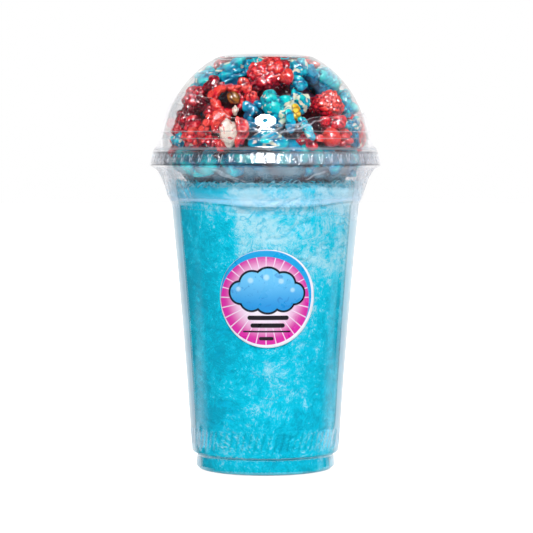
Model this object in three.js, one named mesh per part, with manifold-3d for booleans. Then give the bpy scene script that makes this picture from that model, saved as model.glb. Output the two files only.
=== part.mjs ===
// A sealed clear cup of blue cotton candy, with candied popcorn under its dome lid, a shrink band round the
// lid joint and a round label on the front. Sizes are in millimetres and +Z is up. The origin is the centre
// of the foot, on the surface that the cup stands on, and the label faces -Y.

import * as THREE from "three";
import { mergeVertices } from "three/addons/utils/BufferGeometryUtils.js";
import Module from "manifold-3d";

const wasm = await Module();
wasm.setup();

// Driving sizes.
const GAP = 0.3; // between neighbours
const WALL = 0.6; // thickness of the cup and of the lid
const FILM = 0.3; // thickness of the shrink band and of the label

// The cup.
const RIM_RADIUS = 49; // a cup of the 98 mm rim family
const RIM_TOP = 138.9;
const NECK_TOP = RIM_TOP - 3.7;
const FOOT_RADIUS = 30.4;
const STEP_HEIGHT = 7; // of the narrow foot under the fluted band
const FLUTES_BOTTOM = 10.3;
const FLUTES_TOP = 19.3;
const LEDGE_BOTTOM = 116; // of the stacking ledge
const LEDGE_TOP = 119.5;
const LEDGE_STEP = 0.85;
const FLUTES_BOTTOM_RADIUS = 32.3;
const FLUTES_TOP_RADIUS = 33;
const WALL_SLOPE = 0.066; // just above the flutes
const WALL_FLARE = 0.00018; // which steepens it towards the ledge
const NECK_SLOPE = 0.16;

// The flutes lean: their lower ends lie further round.
const FLUTES = 36;
const FLUTE_RELIEF = 0.22;
const FLUTE_LEAN = THREE.MathUtils.degToRad(7);

// The lid.
const LID_TOP = 181.6;
const LID_FLAT_RADIUS = 21.5;
const DOME_RADIUS = 45.8;
const DOME_BASE = 141;
const RING_HEIGHT = 147.4; // of the raised ring round the dome
const RING_RELIEF = 0.35;
const SKIRT_DEPTH = 5.6;

// The shrink band.
const BAND_TOP = 158.5;
const BAND_FREE = 149.2; // its edge waves above this
const BAND_BOTTOM = 113;
const GATHERS = 16;
const GATHER_DEPTH = 0.35;

const LABEL_RADIUS = 21;
const LABEL_HEIGHT = 77;
const LABEL_OFFSET = 0.8; // towards +X

// The cotton candy.
const CANDY_BOTTOM = 2.6;
const CANDY_TOP = 125;
const FOLD_DEPTH = 0.9;

const FINE = 72; // steps round the cup, two to a flute
const COARSE = 40; // steps round the rest

const lerp = THREE.MathUtils.lerp;
const clamp = THREE.MathUtils.clamp;

// Numbers from one to another in even steps, both ends included.
const spread = (from, to, steps) => Array.from({ length: steps + 1 }, (_, i) => lerp(from, to, i / steps));

// Outside radius of the cup's wall at a height above the flutes.
function cupRadius(z) {
  const up = Math.min(z, LEDGE_BOTTOM) - FLUTES_TOP;
  const ledge = clamp((z - LEDGE_BOTTOM) / (LEDGE_TOP - LEDGE_BOTTOM), 0, 1);
  const neck = Math.max(0, z - LEDGE_TOP);
  return FLUTES_TOP_RADIUS + WALL_SLOPE * up + WALL_FLARE * up * up + LEDGE_STEP * ledge + NECK_SLOPE * neck;
}

// Outside radius of the dome at a height: an ellipse that the flat top cuts off.
function domeRadius(z) {
  const pole = (LID_TOP - DOME_BASE) / Math.sqrt(1 - (LID_FLAT_RADIUS / DOME_RADIUS) ** 2);
  return DOME_RADIUS * Math.sqrt(Math.max(0, 1 - ((z - DOME_BASE) / pole) ** 2));
}

// Revolves [radius, height] points round +Z. reshape gets a vertex's radius, angle, height, step round the
// axis and place in the profile, and returns the radius, angle and height that the vertex takes.
function revolve(profile, steps, reshape = (r, angle, z) => [r, angle, z]) {
  const points = profile.map(([r, z]) => new THREE.Vector2(r, z));
  const geometry = new THREE.LatheGeometry(points, steps);
  const position = geometry.getAttribute("position");
  for (let step = 0; step <= steps; step++) {
    const turned = ((step % steps) / steps) * 2 * Math.PI;
    profile.forEach(([radius, height], place) => {
      const [r, angle, z] = reshape(radius, turned, height, step % steps, place);
      position.setXYZ(step * profile.length + place, r * Math.cos(angle), r * Math.sin(angle), z);
    });
  }
  return geometry;
}

// A closed geometry as a solid that can be joined.
function solidOf(geometry) {
  const bare = geometry.clone();
  bare.deleteAttribute("normal");
  bare.deleteAttribute("uv");
  const merged = mergeVertices(bare, 1e-3);
  return new wasm.Manifold(
    new wasm.Mesh({
      numProp: 3,
      vertProperties: merged.getAttribute("position").array,
      triVerts: new Uint32Array(merged.index.array),
    }),
  );
}

// The largest body of a solid: pockets that joining has sealed are filled, and loose scraps dropped.
function largestBody(solid) {
  return solid.decompose().reduce((best, body) => (body.volume() > best.volume() ? body : best));
}

function geometryOf(solid) {
  const mesh = solid.getMesh();
  const geometry = new THREE.BufferGeometry();
  geometry.setAttribute("position", new THREE.BufferAttribute(mesh.vertProperties, 3));
  geometry.setIndex(new THREE.BufferAttribute(mesh.triVerts, 1));
  geometry.computeVertexNormals();
  return geometry;
}

// A repeatable stream of numbers from 0 to 1 (mulberry32).
function seededRandom(seed) {
  let state = seed;
  return () => {
    state = (state + 0x6d2b79f5) | 0;
    let t = Math.imul(state ^ (state >>> 15), 1 | state);
    t = (t + Math.imul(t ^ (t >>> 7), 61 | t)) ^ t;
    return ((t ^ (t >>> 14)) >>> 0) / 4294967296;
  };
}

// Radius of the middle of the fluted band at a height.
function flutedRadius(z) {
  const up = (z - FLUTES_BOTTOM) / (FLUTES_TOP - FLUTES_BOTTOM);
  return lerp(FLUTES_BOTTOM_RADIUS, FLUTES_TOP_RADIUS, up);
}

// The cup: a foot ring under a raised floor, a step, the fluted band, the long wall, the stacking ledge and a
// rolled rim. The profile runs from the axis under the floor, up the outside and back down the inside.
function cupGeometry() {
  const floor = 1.4;
  const outside = [
    [0, floor],
    [25.2, floor],
    [27, 0],
    [28.7, 0],
    [FOOT_RADIUS, 2],
    [FOOT_RADIUS - 0.15, STEP_HEIGHT],
    [31.7, STEP_HEIGHT + 1.5],
    [FLUTES_BOTTOM_RADIUS, FLUTES_BOTTOM],
    [flutedRadius(12), 12],
    [flutedRadius(17.6), 17.6],
    [FLUTES_TOP_RADIUS, FLUTES_TOP],
    ...spread(67, LEDGE_BOTTOM, 1).map((z) => [cupRadius(z), z]),
    [cupRadius(LEDGE_TOP), LEDGE_TOP],
    [cupRadius(NECK_TOP), NECK_TOP],
  ];
  const rim = [
    [RIM_RADIUS - 3.2, RIM_TOP - 2.2],
    [RIM_RADIUS, RIM_TOP - 1.5],
    [RIM_RADIUS - 0.8, RIM_TOP],
    [RIM_RADIUS - 4, RIM_TOP],
  ];
  const inside = [
    [cupRadius(NECK_TOP) - WALL + 0.2, NECK_TOP + 0.6],
    [cupRadius(LEDGE_BOTTOM) - WALL, LEDGE_BOTTOM + 0.2],
    [cupRadius(67) - WALL, 67],
    [FLUTES_TOP_RADIUS - WALL, FLUTES_TOP],
    [FLUTES_BOTTOM_RADIUS - WALL - 0.1, FLUTES_BOTTOM],
    [FOOT_RADIUS - WALL - 0.1, STEP_HEIGHT + 0.5],
    [FOOT_RADIUS - WALL - 0.1, floor + 0.8],
    [0, floor + 0.8],
  ];
  const isFluted = outside.map(([, z]) => z > FLUTES_BOTTOM && z < FLUTES_TOP);
  return revolve([...outside, ...rim, ...inside], FINE, (r, angle, z, step, place) => {
    const relief = step % (FINE / FLUTES) ? -FLUTE_RELIEF : FLUTE_RELIEF;
    const down = clamp((FLUTES_TOP - z) / (FLUTES_TOP - FLUTES_BOTTOM), 0, 1);
    return [isFluted[place] ? r + relief : r, angle - FLUTE_LEAN * down, z];
  });
}

// The dome lid: a flat top, a dome with one raised ring low down, a shoulder over the cup's rim and a skirt
// round it.
function lidGeometry() {
  const underShoulder = RIM_TOP + GAP;
  const skirtInside = RIM_RADIUS + GAP + 0.1;
  const skirtBottom = underShoulder - SKIRT_DEPTH;
  const dome = (z, relief = 0) => [domeRadius(z) + relief, z];
  const inside = [
    [0, LID_TOP - WALL],
    [LID_FLAT_RADIUS - 0.8, LID_TOP - WALL],
    ...spread(LID_TOP - 4, DOME_BASE, 5).map((z) => [domeRadius(z) - WALL, z - 0.2]),
    [DOME_RADIUS + 0.2, underShoulder],
  ];
  const skirt = [
    [skirtInside, underShoulder],
    [skirtInside, skirtBottom + 1],
    [skirtInside + 0.3, skirtBottom],
    [skirtInside + WALL + 0.3, skirtBottom],
    [skirtInside + WALL, skirtBottom + 1],
    [skirtInside + WALL, underShoulder],
    [skirtInside + WALL - 0.5, underShoulder + WALL],
  ];
  const outside = [
    [DOME_RADIUS + 0.5, underShoulder + WALL],
    [DOME_RADIUS, DOME_BASE],
    dome(RING_HEIGHT - 2.1),
    dome(RING_HEIGHT - 1.5, RING_RELIEF),
    dome(RING_HEIGHT + 1.5, RING_RELIEF),
    ...spread(RING_HEIGHT + 2.1, LID_TOP - 6, 4).map((z) => dome(z)),
    dome(LID_TOP - 2.4),
    dome(LID_TOP - 0.5, 0.1),
    [LID_FLAT_RADIUS - 0.6, LID_TOP],
    [0, LID_TOP],
  ];
  return revolve([...inside, ...skirt, ...outside], COARSE);
}

// The shrink band: a clear sleeve from the lower dome, over the skirt and down to below the ledge. Its upper
// edge waves, higher on one side, and it is gathered where it shrinks in under the skirt.
function bandGeometry() {
  const skirtOutside = RIM_RADIUS + GAP + 0.1 + WALL + 0.3;
  const inner = [
    [cupRadius(BAND_BOTTOM) + GAP, BAND_BOTTOM],
    [cupRadius(LEDGE_TOP) + GAP, LEDGE_TOP],
    [43.1, 124.4],
    [46.6, 131.4],
    [skirtOutside + GAP, 133.6],
    [skirtOutside + 0.1, RIM_TOP + 0.8],
    [DOME_RADIUS + 1.8, 142.4],
    [domeRadius(145.9) + RING_RELIEF + GAP, 145.6],
    [domeRadius(BAND_FREE) + RING_RELIEF + GAP, BAND_FREE],
    ...spread(BAND_FREE, BAND_TOP, 2).slice(1).map((z) => [domeRadius(z) + GAP + 0.3, z]),
  ];
  const outer = inner.map(([r, z]) => [r + FILM, z]);
  return revolve([...outer, ...inner.toReversed(), outer[0]], COARSE, (r, angle, z) => {
    if (z > BAND_FREE) {
      const wave = -4 * Math.cos(angle) + 1.2 * Math.sin(5 * angle);
      const height = z + (wave * (z - BAND_FREE)) / (BAND_TOP - BAND_FREE);
      return [r + domeRadius(height) - domeRadius(z), angle, height];
    }
    const loose = clamp(1 - Math.abs(z - 127) / 6, 0, 1);
    return [r + GATHER_DEPTH * loose * Math.cos(GATHERS * angle), angle, z];
  });
}

// The round label: a thin disc bent round the cup's wall.
function labelGeometry() {
  const radii = spread(0, LABEL_RADIUS, 4);
  const profile = [...radii.map((r) => [r, 0]), ...radii.toReversed().map((r) => [r, FILM])];
  const geometry = revolve(profile, 26);
  const position = geometry.getAttribute("position");
  for (let i = 0; i < position.count; i++) {
    const z = LABEL_HEIGHT + position.getY(i);
    const radius = cupRadius(z) + GAP + position.getZ(i);
    const angle = -Math.PI / 2 + (position.getX(i) + LABEL_OFFSET) / cupRadius(LABEL_HEIGHT);
    position.setXYZ(i, radius * Math.cos(angle), radius * Math.sin(angle), z);
  }
  return geometry;
}

// The cotton candy: a column packed against the cup's wall, with soft folds wound round it at a slant and a
// rough torn top.
function candyGeometry() {
  const foot = FOOT_RADIUS - WALL - 0.1 - GAP;
  const side = (z) => cupRadius(z) - WALL - GAP;
  const profile = [
    [0, CANDY_BOTTOM],
    [foot - 1.2, CANDY_BOTTOM],
    [foot, CANDY_BOTTOM + 1.4],
    [foot, STEP_HEIGHT + 0.5],
    [FLUTES_BOTTOM_RADIUS - WALL - 0.1 - GAP, FLUTES_BOTTOM + 0.2],
    ...spread(FLUTES_TOP, LEDGE_BOTTOM, 7).map((z) => [side(z), z]),
    [side(LEDGE_TOP), CANDY_TOP - 2.6],
    [side(LEDGE_TOP) - 1.6, CANDY_TOP],
    [26, CANDY_TOP - 0.6],
    [13, CANDY_TOP],
    [0, CANDY_TOP - 0.4],
  ];
  return revolve(profile, COARSE, (r, angle, z) => {
    const wide = Math.sin(3 * angle + 0.13 * z) + 0.7 * Math.sin(7 * angle - 0.21 * z + 1);
    const fold = 0.5 + 0.25 * (wide + 0.3 * Math.sin(14 * angle + z));
    const wall = clamp((r - 20) / 8, 0, 1) * clamp((z - CANDY_BOTTOM) / 3, 0, 1);
    const torn = clamp((z - CANDY_TOP + 2) / 2, 0, 1) * clamp(r / 10, 0, 1);
    return [r - FOLD_DEPTH * fold * wall, angle, z + 0.45 * torn * Math.sin(9 * angle + r)];
  });
}

// The popcorn: popped kernels fused to a smaller core, just under the dome and in the neck. Each kernel at
// the front has its own x, z and width. The others stand in rows round the axis, between two bearings in
// degrees.
const FRONT_KERNELS = [
  [-13, 172, 18],
  [2, 170, 19],
  [13.5, 172, 13],
  [25, 169, 15],
  [-25.5, 170, 13],
  [-15, 160.5, 17],
  [-31, 159, 16],
  [10, 156.5, 19],
  [27, 157.5, 17],
  [36, 159, 12],
  [-28, 148, 15],
  [-14, 147.5, 15],
  [1.5, 143.5, 19],
  [16, 144, 15],
  [29, 145.5, 16],
  [-39, 143, 13],
  [38, 147.5, 13],
];
const KERNEL_ROWS = [
  { height: 133.5, radius: 34, count: 9, from: 0, to: 320 },
  { height: 147, radius: 35, count: 6, from: 18, to: 162 },
  { height: 159, radius: 30, count: 5, from: 22, to: 158 },
  { height: 170, radius: 19, count: 3, from: 30, to: 150 },
];
const KERNEL_WIDTH = 17;
const CORE_RADIUS = 34.5; // from the middle of the dome's base
const LOBES = 5;
const ROOM_RADIUS = DOME_RADIUS - WALL - 0.5;
const ROOM_BOTTOM = CANDY_TOP + 1.1;
const ROOM_TOP = LID_TOP - WALL - 0.5;

// A popped kernel: a ball of few sides that swells into lobes. Each corner is moved inwards as far as it
// takes to clear the lid, the cup and the candy.
function kernel(random, centre, width) {
  const lobes = Array.from({ length: LOBES }, () => {
    return new THREE.Vector3(random() - 0.5, random() - 0.5, random() - 0.5).normalize();
  });
  const geometry = new THREE.IcosahedronGeometry(1, 1);
  const position = geometry.getAttribute("position");
  const corner = new THREE.Vector3();
  for (let i = 0; i < position.count; i++) {
    corner.fromBufferAttribute(position, i).normalize();
    const nearest = Math.max(...lobes.map((lobe) => lobe.dot(corner)));
    const reach = width * lerp(0.34, 0.52, THREE.MathUtils.smoothstep(nearest, 0.35, 0.85));
    corner.multiplyScalar(reach).add(centre);
    corner.z = clamp(corner.z, ROOM_BOTTOM, ROOM_TOP);
    const middle = new THREE.Vector3(0, 0, Math.min(corner.z, DOME_BASE));
    const room = Math.min(ROOM_RADIUS, cupRadius(corner.z) - WALL - 0.5);
    corner.sub(middle).clampLength(0, room).add(middle);
    position.setXYZ(i, corner.x, corner.y, corner.z);
  }
  return solidOf(geometry);
}

function popcornGeometry() {
  const random = seededRandom(11);
  const dome = spread(0, Math.PI / 2, 5).map((rise) => {
    return [CORE_RADIUS * Math.cos(rise), DOME_BASE + CORE_RADIUS * Math.sin(rise)];
  });
  const parts = [solidOf(revolve([[0, 127], [28, 127.5], [CORE_RADIUS, 133], ...dome], 12))];
  FRONT_KERNELS.forEach(([x, z, width]) => {
    const reach = ROOM_RADIUS - width / 2;
    const depth = Math.sqrt(Math.max(0, reach ** 2 - x ** 2 - (z - DOME_BASE) ** 2));
    parts.push(kernel(random, new THREE.Vector3(x, -depth, z), width));
  });
  KERNEL_ROWS.forEach(({ height, radius, count, from, to }) => {
    for (let i = 0; i < count; i++) {
      const bearing = lerp(from, to, i / (count - 1)) + 6 * (random() - 0.5);
      const angle = THREE.MathUtils.degToRad(bearing);
      const up = height + 3 * (random() - 0.5);
      const centre = new THREE.Vector3(radius * Math.cos(angle), radius * Math.sin(angle), up);
      parts.push(kernel(random, centre, KERNEL_WIDTH * lerp(0.85, 1.1, random())));
    }
  });
  return geometryOf(largestBody(wasm.Manifold.union(parts)));
}

const clearPlastic = { color: 0xe6eef2, roughness: 0.06, metalness: 0, transparent: true };
const materials = {
  cup: new THREE.MeshStandardMaterial({ ...clearPlastic, opacity: 0.25 }),
  lid: new THREE.MeshStandardMaterial({ ...clearPlastic, opacity: 0.25 }),
  film: new THREE.MeshStandardMaterial({ ...clearPlastic, opacity: 0.2 }),
  label: new THREE.MeshStandardMaterial({ color: 0xe0259a, roughness: 0.35, metalness: 0 }),
  candy: new THREE.MeshStandardMaterial({ color: 0x2fb4d6, roughness: 0.95, metalness: 0 }),
  popcorn: new THREE.MeshStandardMaterial({ color: 0xc22432, roughness: 0.3, metalness: 0 }),
};

const pack = new THREE.Group();

function add(name, geometry, material) {
  const mesh = new THREE.Mesh(geometry, material);
  mesh.name = name;
  pack.add(mesh);
}

add("cup", cupGeometry(), materials.cup);
add("dome_lid", lidGeometry(), materials.lid);
add("shrink_band", bandGeometry(), materials.film);
add("label", labelGeometry(), materials.label);
add("cotton_candy", candyGeometry(), materials.candy);
add("popcorn", popcornGeometry(), materials.popcorn);

export default pack;
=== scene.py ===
"""The looks of a sealed clear cup of blue cotton candy, with candied popcorn under its dome lid.

The cup, the lid, the shrink film, the round label, the cotton candy and every popped kernel are surfaces worked
out on grids, in millimetres, round the same axis as the frame's solids. The label faces -Y.
"""

import math

import bpy
import numpy as np
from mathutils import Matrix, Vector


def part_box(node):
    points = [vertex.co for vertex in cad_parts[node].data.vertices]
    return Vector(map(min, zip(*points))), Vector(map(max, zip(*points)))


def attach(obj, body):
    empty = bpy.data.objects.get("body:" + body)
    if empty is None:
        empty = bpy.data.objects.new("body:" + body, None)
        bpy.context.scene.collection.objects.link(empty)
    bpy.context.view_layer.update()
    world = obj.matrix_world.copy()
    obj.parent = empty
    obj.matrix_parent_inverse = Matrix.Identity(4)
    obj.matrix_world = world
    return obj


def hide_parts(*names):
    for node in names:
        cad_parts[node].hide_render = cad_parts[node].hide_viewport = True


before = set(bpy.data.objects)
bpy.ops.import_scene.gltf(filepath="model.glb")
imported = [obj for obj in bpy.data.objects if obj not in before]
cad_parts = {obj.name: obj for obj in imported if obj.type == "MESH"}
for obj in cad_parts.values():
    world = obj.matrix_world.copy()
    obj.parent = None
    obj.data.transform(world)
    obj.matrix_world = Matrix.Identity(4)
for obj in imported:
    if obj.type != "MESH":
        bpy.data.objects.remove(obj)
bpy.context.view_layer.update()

# ---------------------------------------------------------------------------------------------------------------
# Sizes, in millimetres. The heights of rim and lid come from the frame.

MM = 0.001
FRONT = -math.pi / 2  # the bearing of the label

RIM_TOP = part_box("cup")[1][2] / MM
RIM_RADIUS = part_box("cup")[1][0] / MM
LID_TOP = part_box("dome_lid")[1][2] / MM

CUP_WALL, CUP_FLOOR = 0.5, 1.4
FOOT_RADIUS = 30.4
STEP_HEIGHT = 7.0
FLUTES_BOTTOM, FLUTES_TOP = 10.3, 19.3
FLUTES_BOTTOM_RADIUS, FLUTES_TOP_RADIUS = 32.3, 33.0
WALL_SLOPE, WALL_FLARE = 0.066, 0.00018
LEDGE_BOTTOM, LEDGE_TOP, LEDGE_STEP = 116.0, 119.5, 0.85
NECK_SLOPE = 0.16
NECK_TOP = RIM_TOP - 3.7
FLUTES, FLUTE_RELIEF = 36, 0.1
FLUTE_LEAN = math.radians(4)

LID_WALL = 0.5
DOME_BASE, DOME_RADIUS, LID_FLAT_RADIUS = 141.0, 45.8, 21.5
RING_BOTTOM, RING_TOP, RING_RELIEF = 145.2, 148.0, 0.4
SKIRT_DEPTH, SKIRT_NOTCHES = 5.6, 64

FILM_FIXED_BOTTOM, FILM_FIXED_TOP = 116.0, 149.3  # between these heights the film's rows stay level
FILM_CLEARANCE = 0.25
FILM_LIP, FILM_SHOULDER = 133.6, 139.8  # where the film bends sharply over the lid's skirt
KNOT_BEARING, KNOT_WIDTH = 8, 15  # degrees

LABEL_RADIUS, LABEL_HEIGHT, LABEL_OFFSET = 21.0, 77.0, 0.8
LABEL_THICKNESS, LABEL_LIFT = 0.12, 0.08

CANDY_BOTTOM, CANDY_TOP = 2.4, 125.0
CANDY_GAP = CUP_WALL - 0.1  # from the cup's outside to the candy

KERNEL_WIDTH = 15.5
KERNEL_SEED, WISP_SEED = 5, 23
CORE_RADIUS, CORE_LUMPS, CORE_WIDENING = 31.5, 2.0, 0.22


def lerp(a, b, share):
    """From a to b by a share."""
    return a + (b - a) * share


def smooth(value, low, high):
    """0 below low, 1 above high, and a smooth cubic between them."""
    share = np.clip((value - low) / (high - low), 0, 1)
    return share * share * (3 - 2 * share)


def between(value, low, full, spent, high):
    """A smooth step up from low to full, and a smooth step down from spent to high."""
    return smooth(value, low, full) * (1 - smooth(value, spent, high))


def line_at(value, middle, width):
    """A bell curve, exp(-t*t) with t the distance from the middle over the width."""
    return np.exp(-(((value - middle) / width) ** 2))


def joined(*parts):
    """Points from their x, y and z. A plain number stands for an array of it."""
    return np.stack(np.broadcast_arrays(*parts), -1)


def length_of(points):
    """The distance of points from the origin, with the last axis kept."""
    return np.linalg.norm(points, axis=-1, keepdims=True)


def unit(points):
    """Directions of length 1."""
    return points / length_of(points)


def round_axis(radius, angle, height):
    """Points round the axis from their radius, angle and height."""
    return joined(radius * np.cos(angle), radius * np.sin(angle), height)


def cup_radius(z):
    """Outside radius of the wall: it flares with the square of the height, eases out at the ledge, then slopes."""
    z = np.asarray(z, float)
    up = np.minimum(z, LEDGE_BOTTOM) - FLUTES_TOP
    wall = FLUTES_TOP_RADIUS + WALL_SLOPE * up + WALL_FLARE * up * up
    ledge = smooth(z, LEDGE_BOTTOM, LEDGE_TOP)
    low = lerp(FLUTES_BOTTOM_RADIUS, FLUTES_TOP_RADIUS, (z - FLUTES_BOTTOM) / (FLUTES_TOP - FLUTES_BOTTOM))
    high = wall + LEDGE_STEP * ledge + NECK_SLOPE * np.maximum(0, z - LEDGE_TOP)
    return np.where(z < FLUTES_TOP, low, high)


def dome_radius(z):
    """Outside radius of the dome: an ellipse that the flat top cuts off."""
    pole = (LID_TOP - DOME_BASE) / math.sqrt(1 - (LID_FLAT_RADIUS / DOME_RADIUS) ** 2)
    return DOME_RADIUS * np.sqrt(np.maximum(0, 1 - ((np.asarray(z, float) - DOME_BASE) / pole) ** 2))


def bearing_of(angle):
    """Degrees from the front, positive to the right, from -180 to 180."""
    return (np.degrees(angle - FRONT) + 180) % 360 - 180


def read_back(points):
    """The radius, angle, bearing and height of points."""
    angle = np.arctan2(points[..., 1], points[..., 0])
    return np.hypot(points[..., 0], points[..., 1]), angle, bearing_of(angle), points[..., 2]


# ---------------------------------------------------------------------------------------------------------------
# Noise


def hashed(cell, seed):
    """A repeatable scrambled whole number of 32 bits for each lattice cell (n, 3)."""
    mixed = cell[..., 0] * 374761393 + cell[..., 1] * 668265263 + cell[..., 2] * 1440662683 + seed * 974711
    mixed = mixed & 0xFFFFFFFF
    mixed = ((mixed ^ (mixed >> 13)) * 1274126177) & 0xFFFFFFFF
    return mixed ^ (mixed >> 16)


def noise(points, seed=0):
    """Smooth noise from about -1 to 1: each lattice corner has a random slope, blended by a quintic."""
    points = np.asarray(points, float)
    cell = np.floor(points).astype(np.int64)
    inside = points - cell
    ease = inside**3 * (inside * (inside * 6 - 15) + 10)
    total = np.zeros(points.shape[:-1])
    for corner in np.ndindex(2, 2, 2):
        corner = np.array(corner)
        bits = hashed(cell + corner, seed)
        slope = np.stack([bits & 1023, (bits >> 10) & 1023, (bits >> 20) & 1023], -1) / 511.5 - 1
        weight = np.prod(np.where(corner, ease, 1 - ease), -1)
        total += weight * np.sum(slope * (inside - corner), -1)
    return total * 1.3


def layered(points, octaves, seed=0):
    """Noise with ever finer layers, each twice as fine and half as strong."""
    return sum(noise(np.asarray(points) * 2.0**k, seed + k) / 2.0**k for k in range(octaves))


def ridged(points, octaves, seed=0):
    """Sharp ridges, 1 on the crest: one minus the size of the noise, with finer layers."""
    layers = [(1 - 2 * np.abs(noise(np.asarray(points) * 2.0**k, seed + k))) / 2.0**k for k in range(octaves)]
    return sum(layers) / (2 - 2.0 ** (1 - octaves))


# ---------------------------------------------------------------------------------------------------------------
# Surfaces on grids


def softened(outline, cut):
    """The outline with a parabola in place of each sharp corner, from cut millimetres before it to as far after."""
    points = np.asarray(outline, float)
    here = points[1:-1]
    ends, ways = [], []
    for there in (points[:-2], points[2:]):
        way = there - here
        length = length_of(way)
        ends.append(here + way * np.minimum(cut / length, 0.45))
        ways.append(way / length)
    t = np.linspace(0, 1, 5)[None, :, None]
    arcs = (1 - t) ** 2 * ends[0][:, None] + 2 * t * (1 - t) * here[:, None] + t * t * ends[1][:, None]
    gentle = np.linalg.norm(ways[0] + ways[1], axis=1) < 0.2
    arcs[gentle, 2] = here[gentle]
    kept = np.ones(arcs.shape[:2], bool)
    kept[gentle] = np.arange(5) == 2
    return np.concatenate([points[:1], arcs[kept], points[-1:]])


def divided(outline, longest):
    """The outline with points added so that no side is longer than that, which may be given for each side."""
    points = np.asarray(outline, float)
    parts = np.ceil(np.linalg.norm(np.diff(points, axis=0), axis=1) / longest).astype(int).clip(1)
    at = np.concatenate([side + np.arange(count) / count for side, count in enumerate(parts)])
    at = np.append(at, len(points) - 1)
    return np.stack([np.interp(at, np.arange(len(points)), points[:, axis]) for axis in (0, 1)], -1)


def revolved(outline, columns, shape=None):
    """The outline (radius, height) turned round the axis. shape moves the arrays of radius, angle and height."""
    angle = np.linspace(0, 2 * math.pi, columns, endpoint=False)[None, :]
    radius, height = (outline[:, axis : axis + 1] + 0 * angle for axis in (0, 1))
    angle = angle + 0 * radius
    if shape:
        radius, angle, height = shape(radius, angle, height)
    return round_axis(radius, angle, height)


class Surface:
    """A grid of points (rows, columns, 3) in millimetres, with marks that the material reads at each point.

    Columns run round and close on themselves. Rows close too if ring is set. A first or last row whose points are
    all one becomes a pole.
    """

    def __init__(self, points, ring=False, uv=None, **marks):
        self.points, self.ring, self.uv, self.marks = points, ring, uv, marks

    def faces(self):
        """Quads and triangles as rows of point numbers, wound so that they face outwards."""
        rows, columns = self.points.shape[:2]
        number = np.arange(rows * columns).reshape(rows, columns)
        for row in (0, -1):
            if not self.ring and np.ptp(self.points[row], axis=0).max() < 1e-6:
                number[row] = number[row, 0]
        number = np.concatenate([number, number[:, :1]], 1)
        if self.ring:
            number = np.concatenate([number, number[:1]], 0)
        corners = (number[:-1, :-1], number[:-1, 1:], number[1:, 1:], number[1:, :-1])
        quads = np.stack(corners, -1).reshape(-1, 4)
        low, high = quads[:, 0] == quads[:, 1], quads[:, 2] == quads[:, 3]
        triangles = np.concatenate([quads[low][:, [0, 2, 3]], quads[high][:, :3]])
        return quads[~(low | high)], triangles


def add_piece(name, surfaces, material, slot, *nodes):
    """Joins surfaces into one smooth mesh with the material, which stands for the nodes and hides them. The slot is
    not used.
    """
    points, quads, triangles, start = [], [], [], 0
    for surface in surfaces:
        some_quads, some_triangles = surface.faces()
        quads.append(some_quads + start)
        triangles.append(some_triangles + start)
        points.append(surface.points.reshape(-1, 3))
        start += len(points[-1])
    points, quads, triangles = (np.concatenate(parts) for parts in (points, quads, triangles))
    used, flat = np.unique(np.concatenate([quads.ravel(), triangles.ravel()]), return_inverse=True)
    flat = flat.ravel()
    faces = flat[: quads.size].reshape(-1, 4).tolist() + flat[quads.size :].reshape(-1, 3).tolist()

    mesh = bpy.data.meshes.new(name)
    mesh.from_pydata((points[used] * MM).tolist(), [], faces)
    for mark in surfaces[0].marks:
        values = np.concatenate([np.ravel(surface.marks[mark]) for surface in surfaces])[used]
        mesh.attributes.new(mark, "FLOAT", "POINT").data.foreach_set("value", values.astype(np.float32))
    if surfaces[0].uv is not None:
        flat_uv = np.concatenate([surface.uv.reshape(-1, 2) for surface in surfaces])[used]
        corners = np.empty(len(mesh.loops), np.int32)
        mesh.loops.foreach_get("vertex_index", corners)
        layer = mesh.uv_layers.new(name="UVMap")
        layer.data.foreach_set("uv", flat_uv[corners].astype(np.float32).ravel())
    mesh.shade_smooth()
    mesh.materials.append(material)
    piece = bpy.data.objects.new(name, mesh)
    bpy.context.scene.collection.objects.link(piece)
    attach(piece, "root")
    if nodes:
        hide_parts(*nodes)


# ---------------------------------------------------------------------------------------------------------------
# Shader nodes


class Value:
    """What a node puts out. Sums, differences, products, quotients, powers and sizes of values are Math nodes."""

    def __init__(self, nodes, socket):
        self.nodes, self.socket = nodes, socket

    def __add__(self, other):
        return self.nodes.math("ADD", self, other)

    def __sub__(self, other):
        return self.nodes.math("SUBTRACT", self, other)

    def __rsub__(self, other):
        return self.nodes.math("SUBTRACT", other, self)

    def __mul__(self, other):
        return self.nodes.math("MULTIPLY", self, other)

    def __truediv__(self, other):
        return self.nodes.math("DIVIDE", self, other)

    def __pow__(self, power):
        return self.nodes.math("POWER", self, power)

    def __abs__(self):
        return self.nodes.math("ABSOLUTE", self)

    __radd__, __rmul__ = __add__, __mul__


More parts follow.
